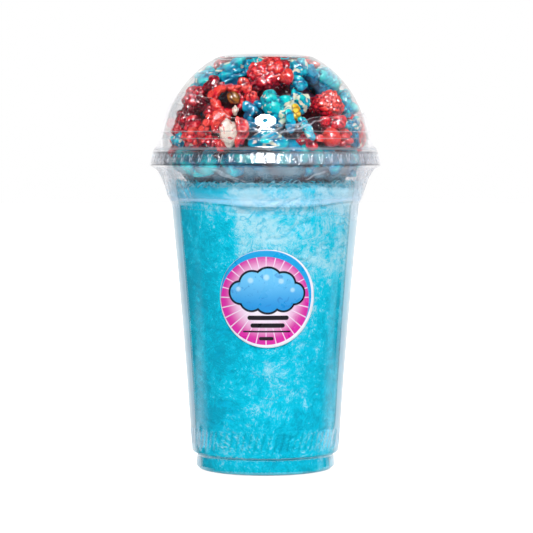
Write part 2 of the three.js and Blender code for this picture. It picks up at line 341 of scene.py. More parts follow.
class Nodes:
    """Adds nodes to a tree. Wherever a value goes in, it may be a plain number or colour or another's output."""

    def __init__(self, tree):
        self.tree = tree

    def put(self, value, socket):
        """Links a value to an input, or sets a plain one. Plain colours are red, green and blue."""
        if isinstance(value, Value):
            self.tree.links.new(value.socket, socket)
        else:
            socket.default_value = (*value, 1) if socket.type == "RGBA" else value

    def add(self, kind, inputs=None, output=0, **settings):
        """A node of that kind with its settings and inputs, by name or number. Gives one of its outputs."""
        node = self.tree.nodes.new("ShaderNode" + kind)
        for key, value in settings.items():
            setattr(node, key, value)
        for key, value in (inputs or {}).items():
            self.put(value, node.inputs[key])
        return Value(self, node.outputs[output])

    def all_of(self, value):
        """All the outputs of the node that a value comes from, by name."""
        return {output.name: Value(self, output) for output in value.socket.node.outputs}

    def axes(self, vector):
        """The x, y and z of a vector."""
        return self.all_of(self.add("SeparateXYZ", {0: vector})).values()

    def math(self, operation, *values, clamp=False):
        """A Math node."""
        return self.add("Math", dict(enumerate(values)), operation=operation, use_clamp=clamp)

    def most(self, *values):
        """The greatest of the values."""
        result = values[0]
        for value in values[1:]:
            result = self.math("MAXIMUM", result, value)
        return result

    def vector(self, operation, *values, output=0):
        """A Vector Math node."""
        return self.add("VectorMath", dict(enumerate(values)), output, operation=operation)

    def dot(self, first, second):
        """The dot product of two vectors."""
        return self.vector("DOT_PRODUCT", first, second, output="Value")

    def mix(self, share, first, second):
        """Blends two colours."""
        return self.add("Mix", {0: share, 6: first, 7: second}, 2, data_type="RGBA")

    def blend(self, share, first, second):
        """Blends two numbers."""
        return self.add("Mix", {0: share, 2: first, 3: second}, data_type="FLOAT")

    def over(self, share, first, second):
        """Blends two shaders."""
        return self.add("MixShader", {0: share, 1: first, 2: second})

    def fade(self, value, low, high, start=0.0, end=1.0):
        """A smooth step: start below low and end above high."""
        inputs = {"Value": value, "From Min": low, "From Max": high, "To Min": start, "To Max": end}
        return self.add("MapRange", inputs, interpolation_type="SMOOTHSTEP")

    def noise(self, vector, scale, detail=4.0, roughness=0.5, distortion=0.0, output=0):
        """Soft noise from 0 to 1, or three of them as a colour with output 1."""
        inputs = {"Vector": vector, "Scale": scale, "Detail": detail, "Roughness": roughness}
        return self.add("TexNoise", {**inputs, "Distortion": distortion}, output)

    def mark(self, name):
        """A mark of the mesh, as a value."""
        return self.add("Attribute", output="Fac", attribute_name=name, attribute_type="GEOMETRY")

    def place(self):
        """The object's own coordinates, in metres."""
        return self.add("TexCoord", output="Object")

    def ray(self, kind):
        """1 for a ray of that kind."""
        return self.add("LightPath", output=kind)

    def facing(self, **normal):
        """How far a face is turned away from sight: one minus the cosine."""
        return self.add("LayerWeight", {"Blend": 0.5, **normal}, "Facing")

    def bump(self, height, strength, distance):
        """A normal bent by a height, for a distance in metres."""
        return self.add("Bump", {"Height": height, "Strength": strength, "Distance": distance})


def emptied(owner, kind):
    """The nodes of a material or world, emptied, and its output's surface socket."""
    owner.use_nodes = True
    owner.node_tree.nodes.clear()
    output = owner.node_tree.nodes.new("ShaderNodeOutput" + kind)
    return Nodes(owner.node_tree), output.inputs["Surface"]


def new_material(name):
    """An empty material, its nodes and its output's surface socket."""
    material = bpy.data.materials.new(name)
    return material, *emptied(material, "Material")


# ---------------------------------------------------------------------------------------------------------------
# Clear plastics


GLOSS_HEAD_ON = 0.04  # Schlick's share of light that is mirrored head on
MILK_THROUGH = 0.62  # the share of milkiness that lets light through
LIMB_START, LIMB_END, LIMB_LINE_START = 0.608, 0.631, 0.576  # how far turned away from sight
TIPPED_UP = 0.47  # about the tangent of 25 degrees
# The colour that the shade mark paints: painted shade.
PAINTED_SHADE_COLOUR = (0.015, 0.02, 0.03)
WHITE = (1, 1, 1)


def make_clear_plastic(name, tint, edge, milk_colour, gloss, shine=2.0, creases=None, limb=0.0):
    """Thin clear plastic: light goes straight through and is tinted, more so at grazing angles.

    The gloss is Schlick's share, 0.04 + 0.96 (1 - cos)^5, times shine. A wall shines on its outer face alone, for
    both of its faces. The mesh's own marks add milkiness mixed with painted highlights and reflections (haze), and
    painted shade, dark lines where a bend hides what is behind (shade). creases are for a thin sheet: the scale,
    stretch and depth of its wrinkles, and the milkiness on their crests. limb is a painted reflection of the
    backdrop: how milky a wall is where it is seen edge on from the side, past a thin dark line of painted shade, as
    far as the mark wall is set. It goes by the normal tipped up by 25 degrees, so that it fades away when seen from
    above. Light from lamps gets through.
    """
    material, nodes, surface = new_material(name)
    seen = 1.0 - nodes.ray("Is Shadow Ray")
    outside = 1.0 - nodes.add("NewGeometry", output="Backfacing")
    haze_and_painted_light, shade = nodes.mark("haze_and_painted_light"), nodes.mark("shade")
    bent = {}
    if creases:
        scale, stretch, depth, crest_haze = creases
        wide = nodes.noise(nodes.vector("MULTIPLY", nodes.place(), (1.0, 1.0, stretch)), scale, 3.0, 0.55, 0.6)
        crest = nodes.math("SUBTRACT", 1.0, abs(wide - 0.5) * 12.0, clamp=True)
        bent["Normal"] = nodes.bump(crest * 0.25 + wide, 1.0, depth)
        haze_and_painted_light = crest * nodes.mark("crumpled") * crest_haze + haze_and_painted_light
    facing = nodes.facing(**bent)
    share = facing**5.0 * (1 - GLOSS_HEAD_ON) + GLOSS_HEAD_ON
    dark = shade * (facing * -0.75 + 1.0)
    if limb:
        tipped = nodes.vector("ADD", nodes.add("NewGeometry", output="Normal"), (0.0, 0.0, TIPPED_UP))
        aside = nodes.facing(Normal=nodes.vector("NORMALIZE", tipped))
        wall = nodes.mark("wall") * outside
        # Painted reflection: the strip is milky where the backdrop would be mirrored at the wall's edge; line is a
        # thin painted shade just inside it.
        strip = nodes.fade(aside, LIMB_START, LIMB_END) * wall
        line = nodes.fade(aside, LIMB_LINE_START, 0.603) * nodes.fade(aside, LIMB_START, 0.622, 1.0, 0.0)
        dark = line * wall * 0.27 + dark
        haze_and_painted_light = strip * limb + haze_and_painted_light
        share = strip * 0.1 + share
    clear = nodes.mix(dark * seen, nodes.mix(facing**4.0, tint, edge), PAINTED_SHADE_COLOUR)
    share = share * nodes.math("MULTIPLY_ADD", shade, -1.2, 1.0, clamp=True)
    share = nodes.math("MULTIPLY", share * seen, shine, clamp=True)
    if not creases:
        share = share * outside
    shiny = nodes.add("BsdfGlossy", {"Color": WHITE, "Roughness": gloss, **bent})
    clear = nodes.over(share, nodes.add("BsdfTransparent", {"Color": clear}), shiny)
    milk = nodes.add("BsdfPrincipled", {"Base Color": milk_colour, "Roughness": 0.5, **bent})
    milk = nodes.over(MILK_THROUGH, milk, nodes.add("BsdfTranslucent", {"Color": (0.95, 0.95, 1.0), **bent}))
    nodes.put(nodes.over(nodes.math("MULTIPLY", haze_and_painted_light, seen, clamp=True), clear, milk), surface)
    return material


def make_cup():
    """The cup's wall: an outline up the outside and back down the inside, with leaning flutes low down."""
    inner = FLUTES_BOTTOM_RADIUS - CUP_WALL
    foot = [[0, CUP_FLOOR], [25.0, CUP_FLOOR], [26.8, 0], [28.8, 0], [30.0, 0.8], [FOOT_RADIUS, 2.2]]
    step = [
        [FOOT_RADIUS - 0.15, STEP_HEIGHT],
        [FLUTES_BOTTOM_RADIUS - 0.4, STEP_HEIGHT + 0.3],
        [FLUTES_BOTTOM_RADIUS, STEP_HEIGHT + 1.2],
        [FLUTES_BOTTOM_RADIUS, FLUTES_BOTTOM],
    ]
    heights = [FLUTES_TOP, 40.0, 65.0, 90.0, *np.linspace(LEDGE_BOTTOM, LEDGE_TOP, 8), NECK_TOP]
    wall = [[cup_radius(z), z] for z in heights]
    rim = [
        [RIM_RADIUS - 3.4, RIM_TOP - 2.4],
        [RIM_RADIUS - 1.0, RIM_TOP - 2.3],
        [RIM_RADIUS, RIM_TOP - 1.2],
        [RIM_RADIUS - 1.0, RIM_TOP],
        [RIM_RADIUS - 4.0, RIM_TOP - 0.1],
    ]
    inside = [[cup_radius(z) - CUP_WALL, z + 0.15] for z in heights[::-1]]
    inside += [[inner, FLUTES_BOTTOM], [inner, STEP_HEIGHT + 1.4], [inner - 0.4, STEP_HEIGHT + 0.8]]
    inside += [[FOOT_RADIUS - CUP_WALL - 0.1, z] for z in (STEP_HEIGHT + 0.5, 2.2)]
    inside += [[28.8, 0.4], [26.9, 0.4], [25.2, CUP_FLOOR + 0.6], [0, CUP_FLOOR + 0.6]]
    outline = softened(foot + step + wall + rim + inside, 0.5)
    middles = (outline[1:, 1] + outline[:-1, 1]) / 2
    at_ledge = np.abs(middles - (LEDGE_BOTTOM + LEDGE_TOP) / 2) < 2.6
    at_flutes = np.abs(middles - 15) < 5
    outline = divided(outline, np.where(at_ledge, 0.4, np.where(at_flutes, 1.0, 3.2)))

    def flute_turn(angle, height):
        """The angle times the number of flutes, which lean with the height."""
        return FLUTES * (angle + FLUTE_LEAN * (FLUTES_TOP - height) / (FLUTES_TOP - FLUTES_BOTTOM))

    def fluted(radius, angle, height):
        """Flutes: a wave round the axis with steep flanks, which ends at both edges of their band."""
        band = between(height, FLUTES_BOTTOM, FLUTES_BOTTOM + 1.2, FLUTES_TOP - 1.2, FLUTES_TOP)
        wave = np.tanh(2 * np.sin(flute_turn(angle, height)))
        return radius + FLUTE_RELIEF * band * wave * (radius > 31), angle, height

    points = revolved(outline, FLUTES * 10, fluted)
    radius, angle, bearing, height = read_back(points)
    # Painted light and shade on the cup: the flutes' edges are pale painted highlights towards the sides and thin
    # lines of painted shade at the front; painted shade lines run along the step, under the rim and round the bottom;
    # the ledge carries a pale band of painted reflection with painted shade lines at its edges.
    side = smooth(np.abs(bearing), 36, 58)
    corner = line_at(height, STEP_HEIGHT + 0.25, 0.35) * (radius > FOOT_RADIUS - 0.4) * (1 - 0.6 * side)
    bottom = (1 - smooth(height, 0.7, 1.7)) * (radius > 28)
    shade = 0.7 * corner + 0.35 * line_at(height, RIM_TOP - 2.4, 0.35) + 0.12 * bottom
    at_step = between(height, STEP_HEIGHT - 0.8, STEP_HEIGHT - 0.2, 8.3, 9.0)
    wall = smooth(height, 1.2, 2.4) * (1 - at_step)
    wall = wall * (1 - 0.7 * smooth(height, CANDY_TOP + 1, CANDY_TOP + 4))
    edges = line_at(np.sin(flute_turn(angle, height)), 0, 0.42) * (radius > 31.9)
    edges = edges * between(height, FLUTES_BOTTOM, FLUTES_BOTTOM + 1, FLUTES_TOP - 1, FLUTES_TOP)
    narrowed = np.where(bearing < 0, smooth(-bearing, 5, 45), smooth(bearing, 20, 62))
    ledge_foot = LEDGE_BOTTOM + 0.3 + 1.9 * narrowed
    ledge = between(height, ledge_foot - 0.2, ledge_foot + 0.3, LEDGE_TOP - 0.2, LEDGE_TOP + 0.3)
    ledge_line = line_at(height, ledge_foot - 0.4, 0.3) + 0.5 * line_at(height, LEDGE_TOP + 0.5, 0.25)
    haze_and_painted_light = 0.55 * edges * side + (0.2 + 0.2 * narrowed) * ledge
    shade = shade + 0.22 * ledge_line + 0.14 * edges * (1 - side)
    tints = (0.995, 0.996, 0.998), (0.97, 0.975, 0.985), (0.82, 0.86, 0.95)
    plastic = make_clear_plastic("clear_cup", *tints, 0.035, limb=0.55)
    add_piece("cup_wall", [Surface(points, haze_and_painted_light=haze_and_painted_light, shade=shade, wall=wall)], plastic, "cup_plastic", "cup")


def make_lid():
    """The lid: a flat top, a dome with a raised ring, a shoulder over the cup's rim and a notched skirt."""
    under, skirt = RIM_TOP + 0.3, RIM_RADIUS + 0.4
    foot = under - SKIRT_DEPTH
    sunk = LID_TOP - 0.7
    inside = [
        [0, sunk - LID_WALL],
        [LID_FLAT_RADIUS - 2.6, sunk - LID_WALL],
        [LID_FLAT_RADIUS - 1.2, LID_TOP - LID_WALL],
        *([dome_radius(z) - LID_WALL, z - 0.2] for z in np.linspace(LID_TOP - 1.5, DOME_BASE, 13)),
        [DOME_RADIUS + 0.1, under],
    ]
    edge = [
        [skirt - 0.3, under],
        [skirt + 0.2, foot + 1.2],
        [skirt + 0.4, foot],
        [skirt + 1.1, foot],
        [skirt + 1.0, foot + 0.9],
        [skirt - 0.05, under - 0.5],
        [skirt - 0.4, under + LID_WALL],
    ]
    outside = [
        [DOME_RADIUS + 0.7, under + LID_WALL],
        [DOME_RADIUS, DOME_BASE + 0.6],
        [dome_radius(RING_BOTTOM - 0.35), RING_BOTTOM - 0.35],
        [dome_radius(RING_BOTTOM) + RING_RELIEF, RING_BOTTOM],
        [dome_radius(RING_TOP) + RING_RELIEF, RING_TOP],
        [dome_radius(RING_TOP + 0.35), RING_TOP + 0.35],
        *([dome_radius(z), z] for z in np.linspace(RING_TOP + 2, LID_TOP - 1.2, 13)),
        [LID_FLAT_RADIUS - 0.3, LID_TOP],
        [LID_FLAT_RADIUS - 1.5, LID_TOP],
        [LID_FLAT_RADIUS - 2.5, sunk],
        [0, sunk],
    ]
    outline = softened(inside + edge + outside, 0.35)
    middles = (outline[1:] + outline[:-1]) / 2
    outline = divided(outline, np.where((middles[:, 0] > skirt - 1) & (middles[:, 1] < under), 0.9, 5.0))
    climb = (outline[:, 1:] - foot) / (under - foot)
    outer_face = (outline[:, :1] > lerp(skirt + 0.7, skirt - 0.25, climb)) & (climb > 0) & (climb < 1)

    def notch_at(angle, height):
        """How far off the nearest notch's middle a place is, how wide the notch is there, and where notches are."""
        rise = np.clip((height - foot - 1.0) / (under - foot - 2.0), 0, 1)
        band = between(height, foot + 0.9, foot + 1.3, under - 1.1, under - 0.7)
        pitch = 2 * math.pi * skirt / SKIRT_NOTCHES
        off = np.abs((angle * SKIRT_NOTCHES / (2 * math.pi) + 0.5) % 1 - 0.5) * pitch
        return off, 0.12 + 0.75 * rise, band * outer_face

    def notched(radius, angle, height):
        """Notches: V-shaped dents, wide at the top and pointed at the bottom, with straight flanks."""
        off, half_width, band = notch_at(angle, height)
        return radius - 0.45 * band * np.clip(1 - off / half_width, 0, 1), angle, height

    points = revolved(outline, SKIRT_NOTCHES * 11, notched)
    radius, angle, bearing, height = read_back(points)
    # Painted shade: dark lines along the shoulder, the skirt's lip and the top's edge, and dark patches on the skirt's
    # band for the dark space seen through it, fewer where lighter is set. Painted highlights: pale lines at the ring's
    # edges, pale ticks along the notches' flanks and a paler band where lighter is set.
    outer = smooth(radius, skirt - 2.5, skirt - 1.5)
    shoulder, lip = line_at(height, under + 0.2, 0.45) * outer, line_at(height, foot + 0.1, 0.4) * outer
    band = between(height, foot, foot + 0.6, under, under + 0.4) * outer
    top_edge = line_at(height, LID_TOP - 0.3, 0.35) * (radius < LID_FLAT_RADIUS)
    shade = 0.6 * shoulder + 0.55 * lip + 0.05 * band + 0.45 * top_edge
    rings = sum(line_at(height, edge_height, 0.3) for edge_height in (RING_BOTTOM - 0.1, RING_TOP + 0.1))
    off, half_width, notches = notch_at(angle, height)
    flank = line_at(off, half_width, 0.2) * notches
    turn = points[..., :2] / np.maximum(radius, 1)[..., None] * 3
    painted_shade_patches = 0.5 + 0.8 * noise(joined(turn[..., 0], turn[..., 1], 0), 33)
    lighter = np.clip(between(bearing, -8, 14, 95, 130) + 0.7 * (1 - smooth(bearing, -80, -55)), 0, 1)
    shade = shade + outer_face * band * np.clip(0.05 + 0.38 * painted_shade_patches, 0, 1) * (1 - 0.9 * lighter) * (1 - flank)
    haze_and_painted_light = 0.28 * rings * (radius > 40) + (0.03 + 0.2 * lighter) * band + 0.85 * flank
    tints = (0.995, 0.996, 0.998), (0.95, 0.955, 0.965), (0.80, 0.83, 0.90)
    plastic = make_clear_plastic("clear_lid", *tints, 0.03)
    add_piece("lid_dome", [Surface(points, haze_and_painted_light=haze_and_painted_light, shade=shade)], plastic, "lid_plastic", "dome_lid")


# The film's upper and lower edges: heights at bearings in degrees from the front, to the right.
FILM_EDGE = {-180: 160, -150: 157, -120: 160, -90: 163, -62: 165, -35: 163, -18: 154, -2: 150.8}
FILM_EDGE.update({14: 151, 32: 154.5, 62: 156, 90: 156.5, 120: 160, 150: 156, 180: 160})
FILM_FOOT = {-180: 113, -90: 115.5, -40: 114.5, 0: 113, 50: 112, 72: 109.5, 90: 109.5, 130: 113, 180: 113}

# Long creases of the film: start and end, each a bearing in degrees and a height.
FILM_CREASES = [
    ((-29, 132.5), (-9, 126.0)),
    ((-27, 131.5), (-14, 126.0)),
    ((34, 131.5), (21, 127.0)),
    ((-52, 131.0), (-47, 119.0)),
    ((-58, 130.0), (-50, 117.0)),
    ((52, 131.0), (60, 122.0)),
    ((66, 124.0), (82, 112.0)),
    ((150, 131.0), (172, 120.0)),
    ((-120, 130.0), (-105, 119.0)),
    ((-3, 144.8), (10, 150.6)),
    ((1, 144.6), (21, 152.4)),
    ((7, 146.8), (25, 151.6)),
    ((-7, 148.0), (7, 151.2)),
    ((13, 148.0), (37, 154.4)),
]
CREASED_RADIUS = 45.0


def around(heights, angle):
    """Heights at bearings, joined by smooth steps round the axis."""
    bearing = bearing_of(angle)
    known = np.array(sorted(heights))
    place = np.clip(np.searchsorted(known, bearing, side="right") - 1, 0, len(known) - 2)
    share = (bearing - known[place]) / (known[place + 1] - known[place])
    values = np.array([heights[key] for key in known], float)
    return lerp(values[place], values[place + 1], share * share * (3 - 2 * share))


def gathers_at(angle, height, shift, seed):
    """Ridges of the film at the cup's neck, which fan out and lean."""
    lean = angle + 0.012 * height
    return ridged(joined(np.cos(lean) * 22, np.sin(lean) * 22, height / 13 + shift), 3, seed)


def neck_gathers(angle, height):
    """0 to 1, 1 on the sharp crests of the film's creases at the neck."""
    return np.clip(gathers_at(angle, height, 0, 5), 0, 1) ** 2


def knot_at(angle, height):
    """1 where the film is bunched, low on the dome a little right of the front."""
    return line_at(bearing_of(angle), KNOT_BEARING, KNOT_WIDTH) * smooth(height, 143.5, 147)


def long_creases(angle, height, width=0.35):
    """Bell curves across lines between two places, which wander and fade here and there, one for each crease."""
    across = np.radians(bearing_of(angle)) * CREASED_RADIUS
    for start, end in FILM_CREASES:
        a, b = (np.array([math.radians(bearing) * CREASED_RADIUS, place]) for bearing, place in (start, end))
        length = np.linalg.norm(b - a)
        way = (b - a) / length
        along = (across - a[0]) * way[0] + (height - a[1]) * way[1]
        line = joined(along / 3.5, *start)
        off = (across - a[0]) * way[1] - (height - a[1]) * way[0] + 0.9 * noise(line, 51)
        inside = between(along, 0, 2, length - 2, length) * smooth(noise(2 * line, 52), -0.7, 0.2)
        yield inside * line_at(off, 0, width)


def make_film():
    """The shrink film: a sleeve that clings to dome, skirt and cup, gathered under the skirt and crumpled above."""
    skirt = RIM_RADIUS + 1.35
    outline = [
        [cup_radius(FILM_FIXED_BOTTOM) + FILM_CLEARANCE, FILM_FIXED_BOTTOM],
        [cup_radius(LEDGE_TOP) + FILM_CLEARANCE, LEDGE_TOP],
        [42.9, 122.7],
        [43.9, 125.6],
        [45.1, 128.6],
        [46.8, 131.6],
        [skirt - 0.5, 133.0],
        [skirt + 0.45, FILM_LIP],
        [skirt + 0.3, 134.8],
        [skirt - 0.75, 138.9],
        [skirt - 1.5, 140.7],
        [DOME_RADIUS + 1.7, 142.6],
        [DOME_RADIUS + 0.6, 145.0],
        [dome_radius(FILM_FIXED_TOP) + RING_RELIEF + FILM_CLEARANCE, FILM_FIXED_TOP],
    ]
    middle = softened(outline, 0.8)
    at_shoulder = np.abs((middle[1:, 1] + middle[:-1, 1]) / 2 - FILM_SHOULDER - 0.5) < 1.8
    middle = divided(middle, np.where(at_shoulder, 0.22, 0.45))
    below_rows, above_rows = 12, 36
    below = joined(0.0, np.linspace(-1, -1 / below_rows, below_rows))
    above = joined(0.0, np.linspace(1 / above_rows, 1, above_rows))
    rows = np.concatenate([below, middle, above])
    row = np.arange(len(rows))[:, None]
    is_below, is_above = row < below_rows, row >= len(rows) - above_rows

    def shrunk(radius, angle, height):
        """Rows below and above the fixed ones spread out to the slanting edges, and wrinkles are added to all."""
        foot, edge = around(FILM_FOOT, angle), around(FILM_EDGE, angle)
        x, y = np.cos(angle), np.sin(angle)
        edge = edge + 0.8 * noise(joined(x, y, 0) * 4, 31)
        low = FILM_FIXED_BOTTOM + height * (FILM_FIXED_BOTTOM - foot)
        high = FILM_FIXED_TOP + height * (edge - FILM_FIXED_TOP)
        height = np.where(is_below, low, np.where(is_above, high, height))
        radius = np.where(is_below, cup_radius(height) + FILM_CLEARANCE, radius)
        over_ring = RING_RELIEF * (1 - smooth(height, FILM_FIXED_TOP, 151))
        radius = np.where(is_above, dome_radius(height) + FILM_CLEARANCE + over_ring, radius)

        neck, upper = between(height, 117, 121, 131, 133.2), smooth(height, 143, 149)
        soft = 0.5 + 0.5 * layered(joined(x * 7, y * 7, height / 7), 2, 14)
        crumples = ridged(joined(x * 5, y * 5, height / 5), 3, 12) * 0.5 + 0.5
        twist = ridged(joined(angle * 6, (height + 10 * (angle - FRONT)) / 1.6, 0), 3, 21) * 0.5 + 0.5
        side = smooth(np.abs(bearing_of(angle)), 30, 70)
        radius = radius + neck * ((0.1 + 0.4 * side) * neck_gathers(angle, height) + 0.45 * soft)
        radius = radius + upper * (0.2 * crumples**2 + 0.15 * soft) + 0.75 * knot_at(angle, height) * twist**2
        for crease in long_creases(angle, height, 0.6):
            radius = radius + 0.3 * crease
        return radius, angle, height

    points = revolved(rows, 420, shrunk)
    _, angle, bearing, height = read_back(points)
    # Milkiness in the neck and along the cut edges, and painted highlights: pale crests of the gathers and the long
    # creases and a pale band above the shoulder. shade is painted shade: dark lines at the shoulder and the lip, and
    # dark lines between the gathers at the sides.
    edge_line = 1 - smooth(height[-1] - height, 0.0, 0.6)
    foot_line = 1 - smooth(height - height[0], 0.0, 0.5)
    neck = between(height, 118, 122, 132.6, 133.4)
    side = smooth(np.abs(bearing), 40, 75)
    gathers = neck_gathers(angle, height) * neck * (0.05 + 0.95 * side)
    vague = 0.75 + 0.5 * noise(joined(angle * 9, height / 9, 0), 41)
    haze_and_painted_light = 0.012 + (0.36 - 0.28 * side) * smooth(height, 127, 131) * neck * vague
    haze_and_painted_light = haze_and_painted_light + 0.3 * edge_line + 0.15 * foot_line + 0.5 * gathers**1.6 + 0.5 * sum(long_creases(angle, height))
    haze_and_painted_light = haze_and_painted_light + 0.3 * between(height, 139.9, 140.3, 140.9, 142.0) + 0.25 * line_at(height, FILM_SHOULDER - 0.4, 0.22)
    lines = 1.5 * line_at(height, FILM_SHOULDER, 0.2) + line_at(height, FILM_SHOULDER - 0.8, 0.2)
    lines = lines + line_at(height, FILM_LIP, 0.35)
    shade = 0.25 * lines + 0.34 * neck * smooth(gathers_at(angle, height, 9, 8), 0.66, 0.92) * side
    upper = smooth(height, 147, 149.5)
    crumpled = np.clip(neck * (0.1 + 0.9 * side) + upper * (0.03 + knot_at(angle, height)), 0, 1)
    tints = (0.98, 0.972, 0.986), (0.985, 0.98, 0.99), (0.80, 0.85, 0.92)
    plastic = make_clear_plastic("shrink_film", *tints, 0.06, 0.7, creases=(420.0, 0.4, 0.0003, 0.2))
    sleeve = Surface(points, haze_and_painted_light=haze_and_painted_light, shade=shade, crumpled=crumpled)
    add_piece("film_sleeve", [sleeve], plastic, "film", "shrink_band")


# ---------------------------------------------------------------------------------------------------------------
# Label


def make_label_print():
    """A round print: a magenta burst with white rays and a pale middle, a blue crescent, a cloud and plain bars.

    It reads the label's own map, in millimetres from its centre. Each shape is a distance, negative inside it.
    """
    material, nodes, surface = new_material("label_print")
    place = nodes.add("UVMap", uv_map="UVMap")
    across, up, _ = nodes.axes(place)

    def far(x, y):
        """Distance from a point of the label."""
        return nodes.vector("DISTANCE", place, (x, y, 0), output="Value")

    def inside(distance, soft=0.12):
        """1 inside a shape and 0 outside it."""
        return nodes.fade(distance, -soft, soft, 1.0, 0.0)

    def bar(x, y, length, thickness):
        """A bar with round ends."""
        along, over = nodes.most(abs(across - x) - (length - thickness) / 2, 0.0), up - y
        return inside(nodes.math("SQRT", along * along + over * over) - thickness / 2, 0.08)

    centre = far(-0.5, 0.5)
    magenta = nodes.mix(nodes.fade(centre, 8.0, 18.0), (0.76, 0.38, 0.66), (0.62, 0.014, 0.33))
    colour = nodes.mix(nodes.fade(centre, 7.0, 19.0, 1.0, 0.0), magenta, (0.80, 0.74, 0.84))
    turn = nodes.math("ARCTAN2", up - 0.5, across + 0.5)
    rays = nodes.fade(nodes.math("COSINE", turn * 28.0), 0.90, 0.985)
    colour = nodes.mix(rays * 0.85, colour, (0.79, 0.72, 0.82))
    crescent = nodes.fade(far(-1.03, -1.63), 19.4, 19.8) * inside(centre - 20.3)
    colour = nodes.mix(crescent, colour, (0.0, 0.33, 0.70))

    upper_puffs = [(-11.5, 2.6, 4.4), (-6.2, 6.3, 5.2), (0.4, 7.6, 5.4), (6.6, 6.0, 5.0), (11.6, 2.2, 4.2)]
    lower_puffs = [(-6.8, -0.2, 4.6), (0.2, -0.6, 5.2), (7.0, -0.4, 4.5)]
    cloud = LABEL_RADIUS
    for x, y, radius in upper_puffs + lower_puffs:
        cloud = nodes.math("MINIMUM", cloud, far(x, y) - radius)
    colour = nodes.mix(inside(cloud - 0.9), colour, (0.005, 0.008, 0.02))
    puffy = nodes.mix(nodes.fade(up, -5.0, 11.0), (0.01, 0.27, 0.66), (0.14, 0.52, 0.84))
    curl = nodes.noise(place, 0.32, 2.0, 0.5, 1.2)
    puffy = nodes.mix(nodes.fade(curl, 0.60, 0.66, 0.0, 0.55), puffy, (0.02, 0.18, 0.55))
    for x, y, radius in upper_puffs:
        gleam = inside(far(x - 0.8, y + 1.6) - 0.22 * radius, 0.5)
        puffy = nodes.mix(gleam * 0.7, puffy, (0.5, 0.74, 0.86))
    colour = nodes.mix(inside(cloud), colour, puffy)

    bars = (0.4, -8.1, 18.0, 1.9), (0.2, -11.4, 15.0, 1.9), (-0.2, -14.0, 21.0, 0.7), (-0.4, -17.0, 6.5, 1.5)
    colour = nodes.mix(nodes.most(*(bar(*measures) for measures in bars)), colour, (0.01, 0.008, 0.014))
    colour = nodes.mix(inside(centre - 20.2), (0.76, 0.77, 0.86), colour)

    grain = nodes.bump(nodes.noise(nodes.place(), 9000.0, 2.0), 0.15, 0.00005)
    sheen = nodes.fade(nodes.noise(nodes.place(), 140.0), 0.3, 0.7, 0.26, 0.36)
    nodes.put(nodes.add("BsdfPrincipled", {"Base Color": colour, "Roughness": sheen, "Normal": grain}), surface)
    return material


def make_label():
    """A thin disc bent round the cup: rings out to the edge on the outside and back on the inside."""
    rings = 26
    reach = np.linspace(0, LABEL_RADIUS, rings)
    reach = np.concatenate([reach, reach[::-1]])[:, None]
    thickness = np.repeat([LABEL_THICKNESS, 0.0], rings)[:, None]
    turn = np.linspace(0, 2 * math.pi, 160, endpoint=False)
    across, up = reach * np.cos(turn), reach * np.sin(turn)
    height = LABEL_HEIGHT + up
    angle = FRONT + (across + LABEL_OFFSET) / cup_radius(LABEL_HEIGHT)
    points = round_axis(cup_radius(height) + LABEL_LIFT + thickness, angle, height)
    add_piece("label_disc", [Surface(points, uv=joined(across, up))], make_label_print(), "label_print", "label")


# ---------------------------------------------------------------------------------------------------------------
# Cotton candy


def make_candy_sugar():
    """Spun sugar: blue with paler drifts, short pale strokes of combed threads, and painted shade in the creases."""
    material, nodes, surface = new_material("spun_sugar")
    place = nodes.place()
    warp = nodes.vector("SUBTRACT", nodes.noise(place, 70.0, 3.0, output=1), (0.5, 0.5, 0.5))
    bent = nodes.vector("ADD", place, nodes.vector("MULTIPLY", warp, (0.012, 0.012, 0.012)))

    def combed(way, scale):
        """Noise drawn out five times as long along a direction."""
        shift = nodes.add("VectorMath", {0: way, 3: nodes.dot(bent, way) * -0.8}, operation="SCALE")
        return nodes.noise(nodes.vector("ADD", bent, shift), scale, 2.0, 0.6)

    swap = nodes.fade(nodes.noise(place, 130.0, 1.0), 0.46, 0.54)
    threads = nodes.blend(swap, combed((0.64, 0.2, 0.74), 2300.0), combed((-0.5, 0.5, 0.7), 1900.0))
    swap = nodes.fade(nodes.noise(place, 38.0, 1.0), 0.47, 0.53)
    strands = nodes.blend(swap, combed((0.78, 0.3, -0.55), 620.0), combed((0.7, -0.3, 0.65), 620.0))
    strokes = nodes.fade(threads, 0.48, 0.70)
    tufts = nodes.fade(nodes.noise(bent, 240.0, 5.0, 0.65), 0.36, 0.68)
    fluff = nodes.noise(bent, 1150.0, 4.0, 0.7)
    pale = (tufts - 0.5) * 0.25 + nodes.mark("pale") + strokes * (tufts * 0.12 + 0.09)
    pale = pale + (threads - 0.5) * 0.55 + (fluff - 0.5) + (strands - 0.5) * 0.75
    colour = nodes.mix(nodes.fade(pale, -0.15, 0.35), (0.0, 0.36, 0.515), (0.0, 0.525, 0.70))
    colour = nodes.mix(nodes.fade(pale, 0.3, 1.0), colour, (0.385, 0.68, 0.77))
    # The folds and the crease mark are painted darker: painted shade.
    fold = abs(nodes.noise(bent, 46.0, 3.0, 0.5, 0.5) - 0.5)
    fold = nodes.fade(fold, 0.0, 0.013, 1.0, 0.0) * nodes.fade(tufts, 0.0, 0.5) * 0.75
    colour = nodes.mix(nodes.most(nodes.mark("crease"), fold), colour, (0.0, 0.45, 0.66))
    inputs = {"Base Color": colour, "Roughness": 0.85, "Normal": nodes.bump(tufts * 0.7 + threads, 0.5, 0.0006)}
    inputs |= {"Specular IOR Level": 0.05, "Sheen Weight": 0.05, "Sheen Roughness": 0.5}
    inputs["Sheen Tint"] = (0.3, 0.9, 1.0)
    nodes.put(nodes.add("BsdfPrincipled", inputs), surface)
    return material


